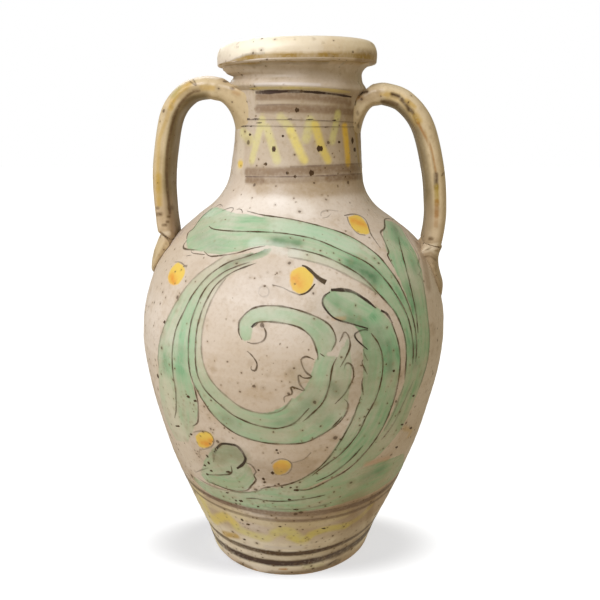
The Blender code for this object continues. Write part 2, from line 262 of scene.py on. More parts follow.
mouth_profile = smooth(MOUTH_STATIONS, MOUTH_STEPS)
lip_top = mouth_profile[:, 1].argmax()
outer_wall = np.vstack((lower_wall, upper_wall[1:], neck_wall[1:], mouth_profile[1:lip_top + 1]))


def radius_at(height):
    """The outer wall's radius at a height, before it wavers."""
    return np.interp(height, outer_wall[:, 1], outer_wall[:, 0])


print("outer wall:", len(outer_wall), "rings, widest", round(1000 * outer_wall[:, 0].max(), 1), "mm")

# %% [markdown]
# ## Unevenness
# A wheel leaves shallow rings where the fingers rose, and drying pulls a pot slightly out of round. Bump
# would fake that in the light only; here the wall itself moves by a few tenths of a millimetre, so the
# outline wavers as well. The same function moves every piece and every painted line, which is why they
# stay on each other.

# %% Points on the wall
RING_PITCH, RING_DEPTH, RING_DRIFT = 0.0083, 0.00005, 0.8
# Each slow wave: its depth, how often it goes round, how it twists with height, and where it starts.
WAVES = ((0.00030, 2, 31, 0.5), (0.00020, 3, -43, 1.9), (0.00014, 5, 97, 0.0), (0.00009, 9, -131, 0.7))
THROAT_BULGE, THROAT_HEIGHT, THROAT_SPREAD = 0.0052, 0.381, 0.0035
NORMAL_STEP, NORMAL_RADIUS = 0.0006, 0.1
SIGHT_NEAR, SIGHT_FAR, SIGHT_STEPS, SIGHT_HALVINGS = 0.30, 0.64, 341, 18


def unevenness(angle, height):
    """How far the wall stands out from its true circle, in metres."""
    stand = RING_DEPTH * np.sin(2 * np.pi * height / RING_PITCH + RING_DRIFT * np.sin(angle + 0.4))
    for depth, times, twist, start in WAVES:
        stand = stand + depth * np.sin(times * angle + twist * height + start)
    left_side = np.clip(-np.cos(angle), 0, 1) ** 1.5
    throat = left_side * np.exp(-(((height - THROAT_HEIGHT) / THROAT_SPREAD) ** 4))
    return stand + THROAT_BULGE * throat


def on_wall(angle, height, proud=0.0):
    """Points of the outer wall, this far proud of it."""
    radius = radius_at(height) + unevenness(angle, height) + proud
    return settled(radius * np.cos(angle), radius * np.sin(angle), height)


def wall_normal(angle, height):
    """The way straight out of the wall, from its slope round the jug and its slope upward."""
    aside = NORMAL_STEP / NORMAL_RADIUS
    round_it = on_wall(angle + aside, height) - on_wall(angle - aside, height)
    up_it = on_wall(angle, height + NORMAL_STEP) - on_wall(angle, height - NORMAL_STEP)
    normal = np.cross(round_it, up_it)
    return normal / np.linalg.norm(normal, axis=-1, keepdims=True)


def seen_on_wall(pixels):
    """Where the camera's sight through each pixel meets the outer wall: angle and height."""
    pixels = np.asarray(pixels, float)
    dip_cos, dip_sin = math.cos(CAMERA_DIP), math.sin(CAMERA_DIP)
    right = pixels[:, 0] - 0.5 * PHOTO_SIDE
    up = 0.5 * PHOTO_SIDE - pixels[:, 1]
    sight = np.stack((right, FOCAL * dip_cos + up * dip_sin, up * dip_cos - FOCAL * dip_sin), axis=-1)
    sight /= np.linalg.norm(sight, axis=-1, keepdims=True)
    reach = np.linspace(SIGHT_NEAR, SIGHT_FAR, SIGHT_STEPS)

    def gap(along):
        _, radius, height = unsettled(CAMERA_PLACE + sight[:, None, :] * along[..., None])
        return radius - radius_at(height)

    gaps = gap(np.broadcast_to(reach, (len(pixels), len(reach))))
    met = gaps < 0
    first = np.where(met.any(1), met.argmax(1), gaps.argmin(1))
    near, far = reach[np.maximum(first - 1, 0)], reach[first]
    for _ in range(SIGHT_HALVINGS):
        middle = 0.5 * (near + far)
        inside = gap(middle[:, None])[:, 0] < 0
        near, far = np.where(inside, near, middle), np.where(inside, middle, far)
    angle, _, height = unsettled(CAMERA_PLACE + sight * far[:, None])
    return angle, height


SPIRAL_MIDDLE = (290, 330)
_, spiral_height = seen_on_wall([SPIRAL_MIDDLE])
print("the painted spiral's middle lies", round(1000 * spiral_height[0], 1), "mm up the wall")

# %% [markdown]
# ## The painter's lines
# The decoration is the old acanthus scroll of southern potters: one big leaf over the shoulder, stems
# that curl down the left and back up into a spiral, lobed leaves on the right, and round berries. Such
# lines could be a texture, but a texture has no thickness and blurs close by. So each line is a list of
# the few points that a brush passed, as pixels of the photograph, which the camera then lays on the wall.

# %% Lines of the scroll
SHOULDER_LEAF = {
    "crest": [(247, 211), (263, 215), (293, 219.5), (331, 229), (354, 238.5), (376, 254), (389, 269),
              (399, 284), (409, 306), (415, 326), (417, 345), (416, 362)],
    "rib": [(209, 226), (214, 229), (232, 231), (274, 232.5), (301, 236), (320, 241), (343, 251),
            (364, 261), (376, 270), (390, 286), (402, 305), (409, 321), (413.5, 344), (413, 364)],
    "third": [(287, 248), (298, 249.5), (320, 255), (341, 264), (361, 276), (379, 294), (394, 311),
              (401, 325), (405.5, 340), (406.5, 357), (405, 380)],
    "under": [(288, 257), (309, 261), (331, 267.5), (354, 279), (368, 287), (378, 294.5)],
    "end_top": [(213, 208), (203, 216), (196, 225), (193, 229), (188.5, 232.5), (186.5, 239)],
    "end_side": [(187, 240), (183.5, 246), (186, 249), (198, 250)],
    "end_foot": [(191.5, 250), (193, 253), (205, 254.5)],
    "end_edge": [(204.5, 251.5), (210, 256), (221, 255.5), (237, 253), (252, 248.5), (265, 246)],
    "curl_a": [(216, 207), (219, 204.8), (221.5, 204.6), (222.6, 206.5)],
    "curl_b": [(222.5, 210.6), (226, 209), (230, 207.8), (233, 207.8), (233.2, 209.6), (230.6, 212.6)],
    "curl_c": [(236.6, 209.3), (240, 209), (242, 210.5), (242.2, 213)],
    "scribble_a": [(321, 216), (321, 212.5), (326, 210.3), (331, 210), (338, 211)],
    "scribble_b": [(331, 213.5), (327, 217), (322, 218)],
    "end_tick": [(186, 256), (191.7, 255)],
}
STEMS = {
    "outer": [(225, 255.5), (210, 265.5), (197, 275), (185, 288), (176, 302), (168, 318), (161, 337),
              (158, 356), (159, 368)],
    "second": [(257, 253), (242, 258), (227, 263), (208, 276), (193, 294), (184, 311), (176, 330),
               (172.5, 351), (173, 371), (176, 391), (176.5, 409), (175, 418)],
    "third": [(250, 262), (235, 267), (221, 274), (205, 289), (194, 312), (189.5, 331), (188.5, 353),
              (191, 374), (198, 391), (212, 413), (228, 428), (243, 436.5), (264, 442.5), (285, 444),
              (304, 442.5), (318, 436.5), (330, 429), (342, 416.5)],
    "fourth": [(256, 263), (233, 272), (216, 285), (206, 301), (201, 313), (196.5, 331), (195.5, 354),
               (198, 374), (206, 390), (220, 404), (235, 415.5), (254, 424), (274, 428), (287, 426),
               (296, 421.5), (309, 408)],
    "inner": [(226, 278), (217, 290), (208, 308), (202.5, 328), (201.5, 350), (205.5, 368), (214, 383),
              (227, 396), (244, 408), (265, 413), (282, 409.5), (292, 398)],
    "left_tip": [(194, 383.5), (198, 401), (198.5, 410), (198, 422), (193, 426)],
}
SPIRAL = {
    "top": [(242, 340), (239, 334), (238.5, 327.5), (240, 320), (250, 310), (263, 306), (282, 306.5),
            (301, 311), (321, 319), (331.5, 327.5), (336, 340), (331.5, 350.5)],
    "eye": [(247, 342), (252, 343.5), (258, 343), (264, 340), (266, 333), (262.5, 325)],
    "inside": [(253, 327), (256, 325), (260, 322), (278, 322.5), (298, 327), (311, 337), (317, 352),
               (318, 360)],
    "edge": [(314, 359.5), (308, 357), (304.5, 357), (301, 360.5), (305, 371), (311.5, 377), (304, 378),
             (298.5, 375), (299.5, 383.5), (304.5, 390.5), (296, 388), (291, 387), (292, 393.5),
             (284.5, 396.5), (284.5, 402)],
    "tendril": [(247, 351), (251.5, 355), (256, 361), (257, 366), (255, 370.5), (251, 369), (251.5, 366)],
    "rib": [(337, 357), (333.5, 364), (331.5, 371), (329, 386.5), (323, 402), (311.5, 414), (302.5, 421.5)],
    "lobe_a": [(339.5, 342), (342, 336.5), (344.5, 332), (348, 335), (350, 342), (349, 350), (342, 364),
               (340, 367)],
    "lobe_b": [(344, 369), (345.5, 364), (348.5, 363), (352, 366), (353.5, 373), (352.5, 380),
               (345, 393.5), (335, 404)],
    "lobe_c": [(344, 399), (347.5, 402.5), (348, 408), (345, 415), (339, 422.5), (330, 429.5)],
    "tick": [(320, 353.5), (324.5, 356.5)],
    "hook": [(251.5, 327.5), (254, 324.5), (258, 322)],
    "ring": [(258.4, 293.5), (260, 287.5), (265, 286.2), (268.6, 290), (267.5, 295.5), (262, 296.6),
             (258.4, 293.5)],
}
INNER_LEAF = {
    "crown": [(331, 290), (343, 290), (353, 292), (366, 300), (376, 308)],
    "loop": [(330, 292), (324.5, 296), (322.5, 301.5), (325, 308.5), (335, 318.5), (354, 324.5),
             (368, 328.5)],
    "back_top": [(381, 310.5), (387, 314), (392.5, 323)],
    "back": [(390, 319), (392.5, 325), (398.5, 343), (400.5, 362), (398, 385), (392, 407), (382, 429),
             (367, 450), (348.5, 468.5), (327, 481), (309.5, 489), (296, 490)],
    "notch": [(368, 330), (362, 330), (355, 334), (357, 340), (367.5, 349.5)],
    "tooth_a": [(363, 349), (364.5, 354.5), (367.5, 360.5)],
    "tooth_b": [(363, 359.5), (362, 363.5), (367.5, 374.5)],
    "tooth_c": [(363, 378), (362, 383), (363.5, 395)],
    "front": [(361, 397), (353.5, 417), (347, 429.5), (335.5, 448.5), (321, 466), (302.5, 478.5),
              (286.5, 484.5), (268, 487), (260.5, 489)],
    "rib": [(371, 333), (379.5, 346), (383, 363.5), (381, 383), (375.5, 400), (366, 417), (357.5, 434),
            (342, 452.5), (328.5, 463), (312, 475.5)],
    "vein": [(363, 445.5), (348.5, 461), (331.5, 474), (316, 481.5)],
}
RIGHT_LEAF = {
    "tip": [(392.5, 219.5), (388, 218.5), (384, 219.5), (384, 228), (380, 232), (382.5, 238), (388, 251),
            (387, 255.5), (393, 266.5)],
    "rib": [(398, 237), (400, 247), (405.5, 268.5), (411, 290.5), (416.5, 315), (418.5, 333)],
    "outer": [(401, 228), (408, 238.5), (418, 256), (417, 264), (420.5, 269.5), (418.5, 274),
              (421.5, 280), (425.5, 298.5), (428, 315), (430, 333), (428.5, 357.5), (423, 379),
              (420, 387.5)],
    "low_a": [(404, 386), (398, 403.5), (393, 415.5), (384, 431)],
    "low_b": [(414, 380.5), (404.5, 402), (394, 423.5), (381, 440)],
}
FOOT_LEAVES = {
    "clover_top": [(214.5, 452), (218.5, 446.5), (222.5, 443.5), (230, 444), (238, 446.5), (245, 456.5),
                   (245, 461), (242, 465), (237, 468.5)],
    "clover_side": [(245.5, 462.5), (251.5, 465), (256, 471.5), (254, 475), (256, 480), (251, 486),
                    (247.5, 490), (238, 491.5), (226, 489), (207, 481.5)],
    "clover_rib": [(231, 465.5), (231.5, 473), (222, 475), (207, 475)],
    "clover_left": [(195.5, 472.5), (201.5, 470), (208, 468)],
    "clover_fold": [(213.5, 462), (214, 455), (216, 450), (220, 447)],
    "sweep_left": [(197, 477.5), (205, 483), (218, 488.6), (238, 492.5), (256, 491.5), (262, 489.5)],
    "sweep_rib": [(246, 498.5), (257, 499), (267, 501), (286.5, 501), (309.5, 498), (325, 494.5)],
    "sweep_foot": [(262, 506), (275, 509), (298, 509), (313, 507), (329, 503.5)],
}
plants = {"shoulder_leaf": SHOULDER_LEAF, "stems": STEMS, "spiral": SPIRAL, "inner_leaf": INNER_LEAF,
          "right_leaf": RIGHT_LEAF, "foot_leaves": FOOT_LEAVES}
print("painted lines:", {name: len(lines) for name, lines in plants.items()})

# %% [markdown]
# ## Washes between the lines
# Before the lines came thin copper-green washes, one pull of a wide brush between two lines at a time. A
# wash is given here by the two edges that it runs between and by how much pigment the brush still held at
# both ends. On the wall it becomes a distance: how many millimetres a point lies inside the wash.
# Distances stay sharp on a coarse mesh, where a painted colour would blur, and the glaze turns them into
# soft wet edges further down.

# %% Washes of copper green
LEAF_END_TOP = [(187, 246), (186.5, 240), (189, 233), (195, 226), (197, 223), (204, 214.5), (212, 208),
                (219, 207.5), (232, 212.5), (247, 214.5), (266, 218), (285, 221)]
LEAF_END_FOOT = [(187, 246), (190, 249.5), (200, 251), (210, 253.5), (221, 254), (237, 251.5),
                 (252, 247.5), (266, 245.5), (285, 246)]
TIP_LEFT = [(160, 345), (158.6, 365), (159.5, 385), (162, 405), (167, 422), (176, 440)]
TIP_RIGHT = [(187, 345), (190, 372), (196, 396), (198, 412), (196, 424), (188, 442)]
HOOK_LEFT = [(240, 320), (238.5, 328), (240, 336), (244, 341)]
HOOK_RIGHT = [(254, 321), (251, 327), (252, 333), (250, 340)]
SPIRAL_LEFT = [(319, 354), (314, 364), (309, 381), (300, 394), (287, 404), (268, 413)]
SPIRAL_RIB = [(337, 357), (332, 370), (327, 394), (314, 411), (298, 422), (275, 428)]
LOBES = [(348, 338), (352, 368), (350, 390), (346, 412), (334, 427), (318, 436)]
LEAF_TEETH = [(336, 306), (360, 333), (363, 352), (363, 382), (358, 404), (341, 438), (318, 468),
              (286, 485), (268, 488)]
LEAF_RIBS = [(360, 312), (374, 338), (383, 360), (380, 386), (369, 412), (350, 443), (329, 463),
             (304, 480), (278, 489)]
LEAF_BACK = [(376, 306), (393, 326), (400.5, 358), (397, 388), (385, 424), (364, 454), (338, 474),
             (300, 490), (284, 491.5)]
RIGHT_TIP = [(384, 220), (383, 238), (390, 260), (402, 285), (411, 308)]
RIGHT_RIB = [(393, 222), (399, 242), (407, 272), (415, 303), (418, 333), (415, 365)]
RIGHT_EDGE = [(400, 227), (417, 258), (424, 288), (429, 320), (430, 345), (427, 368)]
LOW_LEFT = [(408, 355), (405, 380), (396, 405), (383, 430), (366, 452), (348, 469), (326, 482), (305, 490)]
LOW_RIGHT = [(428, 362), (420, 388), (407, 418), (394, 438), (376, 457), (356, 471), (334, 484), (312, 492)]
SWEEP_TOP = [(193, 476), (203, 483), (218, 489), (238, 492), (254, 491), (270, 488), (296, 491),
             (327, 483), (352, 473), (366, 466), (381, 461), (395, 457), (403, 453)]
SWEEP_FOOT = [(194, 480), (203, 489), (215, 497), (230, 502.5), (250, 508), (272, 511), (298, 511.5),
              (327, 507), (352, 500), (374, 491), (392, 479), (402, 467)]
CLOVER_TOP = [(206, 457), (216, 447), (228, 444), (240, 450), (245, 460)]
CLOVER_MIDDLE = [(200, 474), (219, 476), (230, 478), (240, 476), (249, 465)]
CLOVER_FOOT = [(206, 482), (220, 487), (238, 491), (250, 487), (256, 478)]
STEM_FOOT = [(285, 443), (304, 442.5), (318, 436.5), (330, 429)]
SPIRAL_FOOT = [(274, 428), (292, 424), (306, 418), (320, 407)]
STEM_TOP = [(272, 248.5), (262, 250)]
STEM_UNDER = [(268, 255), (262, 257.5)]
# Each wash: its two edges, and the pigment that the brush held at its start and at its end.
WASHES = [
    (LEAF_END_TOP, LEAF_END_FOOT, 0.78, 0.56),
    (SHOULDER_LEAF["crest"][1:], SHOULDER_LEAF["rib"][3:], 0.50, 0.80),
    (SHOULDER_LEAF["rib"][3:], [(268, 246), *SHOULDER_LEAF["third"]], 0.62, 0.95),
    (SHOULDER_LEAF["third"][:6], SHOULDER_LEAF["under"], 0.18, 0.35),
    (STEMS["outer"], STEMS["second"][:9], 0.14, 0.62),
    ([*STEM_TOP, *STEMS["second"][:9]], [*STEM_UNDER, *STEMS["third"][:8]], 0.45, 0.88),
    (STEMS["third"], STEMS["fourth"], 0.45, 0.70),
    (STEMS["fourth"], STEMS["inner"], 0.12, 0.60),
    (TIP_LEFT, TIP_RIGHT, 0.78, 0.40),
    (SPIRAL["top"][2:], SPIRAL["inside"], 0.42, 0.70),
    (HOOK_LEFT, HOOK_RIGHT, 0.52, 0.40),
    (SPIRAL_LEFT, SPIRAL_RIB, 0.55, 0.72),
    (SPIRAL_RIB, LOBES, 0.48, 0.58),
    (SPIRAL_FOOT, STEM_FOOT, 0.52, 0.46),
    (INNER_LEAF["crown"], INNER_LEAF["loop"], 0.68, 0.78),
    (LEAF_TEETH, LEAF_RIBS, 0.66, 0.50),
    (LEAF_RIBS, LEAF_BACK, 0.82, 0.55),
    (RIGHT_TIP, RIGHT_RIB, 0.85, 0.80),
    (RIGHT_RIB, RIGHT_EDGE, 0.72, 0.70),
    (LOW_LEFT, LOW_RIGHT, 0.70, 0.50),
    (SWEEP_TOP, SWEEP_FOOT, 0.45, 0.70),
    (CLOVER_TOP, CLOVER_MIDDLE, 0.50, 0.60),
    (CLOVER_MIDDLE, CLOVER_FOOT, 0.66, 0.85),
]
# Each pool of green, and each ripe spot of a berry: its line, its size in pixels, and its strength.
POOLS = [
    ([(353, 264), (363, 269), (373, 277)], 9, 1.0),
    ([(276, 241), (296, 243)], 7, 0.7),
    ([(225, 418), (236, 424)], 7, 0.35),
    ([(387, 344), (390, 356), (390, 370)], 7, 0.55),
    ([(226, 267), (240, 260), (256, 253), (265, 250)], 5, 0.75),
    ([(330, 298), (337, 303)], 6, 0.3),
    ([(352, 320), (370, 328)], 7, 0.5),
    ([(366, 478), (380, 470)], 8, 0.4),
    ([(230, 450), (241, 454)], 7, 0.3),
    ([(409, 288), (414, 304)], 7, 0.4),
    ([(395, 228), (398, 242)], 6, 0.5),
    ([(412, 262), (414, 270)], 6, 0.35),
    ([(280, 423), (291, 418)], 7, 0.35),
    ([(332, 384), (336, 392)], 6, 0.45),
    ([(378, 332), (384, 345)], 9, 0.45),
    ([(414, 345), (416, 365)], 6, 0.4),
    ([(296, 412), (310, 404)], 8, 0.3),
    ([(345, 330), (362, 345)], 9, 0.3),
    ([(200, 236), (212, 244), (222, 244)], 10, 0.3),
    ([(165, 360), (164, 368)], 6, 0.4),
    ([(181, 350), (181, 372)], 7, 0.25),
]
BERRIES = [
    [(178, 262), (184, 267), (184, 275), (178, 284), (172, 285), (168, 279), (171, 269)],
    [(290, 273), (300, 267), (309, 270), (314, 278), (310, 289), (302, 294), (294, 291), (290, 283)],
    [(348, 217), (356, 215), (363, 219), (368, 228), (368, 234), (359, 233), (352, 228)],
    [(195.5, 436), (202, 431.6), (210, 432.4), (214, 438.6), (210, 446.6), (200, 446.4)],
    [(272, 465), (280, 460), (288, 461), (291, 466), (285, 473), (276, 474)],
]
RIPE = [
    ([(171, 277), (174, 282)], 5, 1.0),
    ([(295, 279), (298, 284)], 7, 0.8),
    ([(354, 221), (363, 224)], 6, 0.8),
    ([(202, 442), (207, 443.5), (212, 441)], 4, 1.0),
    ([(276, 466), (284, 467)], 8, 0.6),
]
TURNS = (0.0, math.pi)
WASH_SAMPLES, LINE_STEPS, DROP_SAMPLES = 30, 12, 6


def run_along(line):
    """How far each point of a line lies from its start."""
    return np.concatenate(([0.0], np.cumsum(np.linalg.norm(np.diff(line, axis=0), axis=1))))


def even(points, count):
    """A smooth line through the points, cut into this many equal steps."""
    line = smooth(points, LINE_STEPS)
    run = run_along(line)
    at = np.linspace(0, run[-1], count)
    return np.stack((np.interp(at, run, line[:, 0]), np.interp(at, run, line[:, 1])), axis=-1)


def true_wall(angle, height):
    """Points of the wall as it was thrown: round, upright and smooth."""
    radius = radius_at(height)
    return np.stack((radius * np.cos(angle), radius * np.sin(angle), height), axis=-1)


pulls = []
for edge_a, edge_b, start, end in WASHES:
    one, other = even(edge_a, WASH_SAMPLES), even(edge_b, WASH_SAMPLES)
    outline = seen_on_wall(np.vstack((one, other[::-1])))
    pulls.append((outline, seen_on_wall(0.5 * (one + other)), np.linspace(start, end, WASH_SAMPLES)))
berry_outlines = [seen_on_wall(even([*berry, berry[0]], WASH_SAMPLES)) for berry in BERRIES]
print("washes:", len(pulls), "and berries:", len(berry_outlines), "on the front, and as many on the back")

# %% Distance inside a wash
FAR_OUTSIDE = -0.02
LOOK_AROUND, SMALL_RADIUS = 0.006, 0.05
RUN_TOGETHER = 0.0016


def off_line(points, line):
    """Each point's distance from a line of points, with the nearest step and the place along that step."""
    start, step = line[:-1], np.diff(line, axis=0)
    offset = points[:, None, :] - start
    t = np.clip((offset * step).sum(-1) / np.maximum((step**2).sum(-1), 1e-14), 0, 1)
    away = np.linalg.norm(offset - t[..., None] * step, axis=-1)
    pick = away.argmin(1)
    rows = np.arange(len(points))
    return away[rows, pick], pick, t[rows, pick]


def inside_outline(angle, height, outline):
    """Which points of the wall are near an outline, and how far inside it, or minus how far outside."""
    ring_angle, ring_height = (np.append(part, part[0]) for part in outline)
    reach = LOOK_AROUND / SMALL_RADIUS
    level = (height > ring_height.min() - LOOK_AROUND) & (height < ring_height.max() + LOOK_AROUND)
    near = np.nonzero(level & (angle > ring_angle.min() - reach) & (angle < ring_angle.max() + reach))[0]
    if not len(near):
        return near, np.zeros(0)
    x, y = angle[near][:, None], height[near][:, None]
    x0, x1, y0, y1 = ring_angle[:-1], ring_angle[1:], ring_height[:-1], ring_height[1:]
    spans = (y0 > y) != (y1 > y)
    crossing = x0 + (y - y0) * (x1 - x0) / np.where(y1 == y0, 1e-12, y1 - y0)
    within = (spans & (x < crossing)).sum(1) % 2 == 1
    away, _, _ = off_line(true_wall(angle[near], height[near]), true_wall(ring_angle, ring_height))
    return near, np.where(within, away, -away)


def turned_back(angle, turn):
    """An angle seen from the painting's own front, which faces the camera."""
    return (angle - turn - 0.5 * np.pi) % (2 * np.pi) - 1.5 * np.pi


def washed(angle, height):
    """What the washes do at points of the wall, as named values for each point."""
    names = ("wash_pigment", "wash_along", "wash_across", "wash_pool", "ripe")
    fields = {name: np.zeros(len(angle)) for name in names}
    wash, berry = np.full(len(angle), FAR_OUTSIDE), np.full(len(angle), FAR_OUTSIDE)
    shares = np.zeros(len(angle))
    for turn in TURNS:
        seen = turned_back(angle, turn)
        for number, (outline, middle, held) in enumerate(pulls):
            near, inside = inside_outline(seen, height, outline)
            if not len(near):
                continue
            line = true_wall(*middle)
            away, pick, t = off_line(true_wall(seen[near], height[near]), line)
            run = run_along(line)
            share = np.clip(0.5 + 0.5 * inside / RUN_TOGETHER, 0, 1)
            shares[near] += share
            fields["wash_pigment"][near] += share * (held[pick] + t * np.diff(held)[pick])
            better = inside > wash[near]
            wash[near[better]] = inside[better]
            fields["wash_along"][near[better]] = (number + run[pick] + t * np.diff(run)[pick])[better]
            fields["wash_across"][near[better]] = away[better]
        for outline in berry_outlines:
            near, inside = inside_outline(seen, height, outline)
            berry[near] = np.maximum(berry[near], inside)
        for name, drops in (("wash_pool", POOLS), ("ripe", RIPE)):
            for pixels, size, strength in drops:
                line = true_wall(*seen_on_wall(even(pixels, DROP_SAMPLES)))
                reach = size * np.linalg.norm(line[0] - CAMERA_PLACE) / FOCAL
                away, _, _ = off_line(true_wall(seen, height), line)
                fields[name] = np.maximum(fields[name], strength * np.exp(-((away / reach) ** 2)))
    fields["wash_pigment"] /= np.maximum(shares, 1e-6)
    fields["wash"], fields["berry"] = 1000 * wash, 1000 * berry
    return fields


def carry(mesh, name, values, kind="FLOAT"):
    """Gives every point of a mesh a value of its own that materials can read."""
    field = mesh.attributes.new(name, kind, "POINT")
    slot = "color" if kind == "FLOAT_COLOR" else "value"
    field.data.foreach_set(slot, np.ravel(values).astype(np.float32))


def places(mesh):
    """Angle, distance from the axis and height of a mesh's points, as thrown."""
    points = np.zeros(3 * len(mesh.vertices), np.float32)
    mesh.vertices.foreach_get("co", points)
    return unsettled(points.reshape(-1, 3).astype(float))


WALL_REACH = 0.0022


def on_outside(radius, height):
    """Which of a ring's points belong to its outer wall."""
    return np.nonzero(np.abs(radius - radius_at(height)) < WALL_REACH)[0]


def carry_washes(mesh):
    """Tells each point of a mesh on the outer wall what the washes do there."""
    angle, radius, height = places(mesh)
    outside = on_outside(radius, height)
    for name, values in washed(angle[outside], height[outside]).items():
        filled = np.full(len(angle), 1000 * FAR_OUTSIDE if name in ("wash", "berry") else 0.0)
        filled[outside] = values
        carry(mesh, name, filled)
    return len(outside)


first_outline, first_middle, _ = pulls[0]
_, first_inside = inside_outline(*first_middle, first_outline)
print("the leaf's end is washed", round(2000 * first_inside.max(), 1), "mm wide")

# %% [markdown]
# ## The glaze
# Tin glaze is a milky white glass about half a millimetre thick. Here it has aged to cream: it is warmer
# and browner low on the jug, pitted where gas left the clay, stained round the pits, and thin over edges,
# where the buff clay shows. One recipe serves the whole jug. The mesh tells it where the washes, lines
# and bare clay are, and clouds and cells in the jug's own space do the rest, so the finish is seamless
# from piece to piece.

# %% Ground of the glaze
CREAM, BEIGE, TAN = pigment(226, 212, 197), pigment(208, 190, 169), pigment(180, 151, 112)
# The aged colour also serves as painted shade, the fresh one as painted light on the lip's top.
AGED, FRESH = pigment(152, 128, 84), pigment(252, 241, 217)
BROWN_FROM, BROWN_TO, BROWN_SHARE = 0.20, 0.02, 0.72


def aged_ground(tree, place, ground, shade):
    """The glaze's colour: cloudy, browner low down, and aged, fresh, painted shade and painted light as the
    mesh says.
    """
    height = tree.nodes.new("ShaderNodeSeparateXYZ")
    feed(tree, height.inputs[0], place)
    low = ramp(tree, height.outputs[2], BROWN_FROM, BROWN_TO, 0.0, BROWN_SHARE)
    colour = tint(tree, patches(tree, place, 11, 3, 0.36, 0.66), ground, shade)
    colour = tint(tree, product(tree, low, patches(tree, place, 26, 3, 0.3, 0.7)), colour, TAN)
    colour = tint(tree, patches(tree, place, 70, 5, 0.52, 0.78, 0.0, 0.35), colour, TAN)
    mottle = cloud(tree, place, 430, 4, 0.6)
    colour = tint(tree, ramp(tree, mottle, 0.44, 0.74, 0.0, 0.26), colour, TAN)
    tone = product(tree, told(tree, "tone"), patches(tree, place, 48, 4, 0.25, 0.7, 0.6, 1.25))
    colour = tint(tree, clamped(tree, tone), colour, AGED)
    return tint(tree, clamped(tree, product(tree, tone, -1.0)), colour, FRESH)


print("the ground turns brown below", round(1000 * BROWN_FROM), "mm")

# %% Washes and berries in the glaze
GREEN, GREEN_DEEP, GREEN_POOL = pigment(148, 190, 146), pigment(56, 112, 70), pigment(112, 146, 96)
GOLD, ORANGE = pigment(236, 200, 82), pigment(228, 146, 30)
WASH_RAGGED, WASH_MIDDLE, WASH_RIM = 2.8, 1.3, 0.25
STREAKS_ALONG, STREAKS_ACROSS = 26.0, 260.0
DROP_RAGGED, DROP_MIDDLE = 1.4, 0.7


def green_washed(tree, place, colour):
    """Washes over a colour: ragged at the edge, streaked by the brush, deep where they pooled."""
    ragged = added(tree, cloud(tree, place, 240, 5, 0.6), WASH_RAGGED, told(tree, "wash"))
    ragged = figure(tree, "SUBTRACT", ragged, WASH_MIDDLE)
    streak = tree.nodes.new("ShaderNodeCombineXYZ")
    feed(tree, streak.inputs[0], product(tree, told(tree, "wash_along"), STREAKS_ALONG))
    feed(tree, streak.inputs[1], product(tree, told(tree, "wash_across"), STREAKS_ACROSS))
    drag = patches(tree, streak.outputs[0], 1.0, 3, 0.28, 0.72, 0.66, 1.2)
    patch = patches(tree, place, 42, 4, 0.3, 0.7, 0.66, 1.28)
    held = product(tree, drag, patch, told(tree, "wash_pigment"))
    wet = product(tree, ramp(tree, ragged, -0.7, 1.0), held)
    inside = ramp(tree, ragged, -0.2, 0.5)
    rim = product(tree, inside, ramp(tree, ragged, 1.7, 0.6))
    colour = tint(tree, figure(tree, "MINIMUM", wet, 1.0), colour, GREEN)
    deep = product(tree, ramp(tree, wet, 0.75, 1.25, 0.0, 0.6), patches(tree, place, 90, 3, 0.3, 0.6))
    uneven = patches(tree, place, 110, 4, 0.25, 0.7, 0.5, 1.0)
    gathered = product(tree, told(tree, "wash_pool"), inside, uneven)
    colour = tint(tree, figure(tree, "MAXIMUM", deep, gathered), colour, GREEN_DEEP)
    return tint(tree, product(tree, rim, held, WASH_RIM), colour, GREEN_POOL)


def berried(tree, place, colour):
    """Berries over a colour: golden, and orange where the pigment gathered."""
    drop = added(tree, cloud(tree, place, 330, 3), DROP_RAGGED, told(tree, "berry"))
    drop = ramp(tree, figure(tree, "SUBTRACT", drop, DROP_MIDDLE), -0.9, 0.8, 0.0, 0.92)
    ripe = product(tree, told(tree, "ripe"), patches(tree, place, 260, 3, 0.3, 0.65, 0.5, 1.0))
    return tint(tree, drop, colour, tint(tree, ripe, GOLD, ORANGE))


print("a brush streak is about", round(1000 / STREAKS_ACROSS, 1), "mm wide")

# %% Gas pits in the glaze
# Each kind of pit: cells to a metre, its size as a share of a cell, and the share of cells that hold one.
PIT_KINDS = ((230, 0.088, 0.62), (120, 0.076, 0.50), (66, 0.070, 0.42))
PIT_WANDER, WANDER_SCALE = 0.0016, 300.0


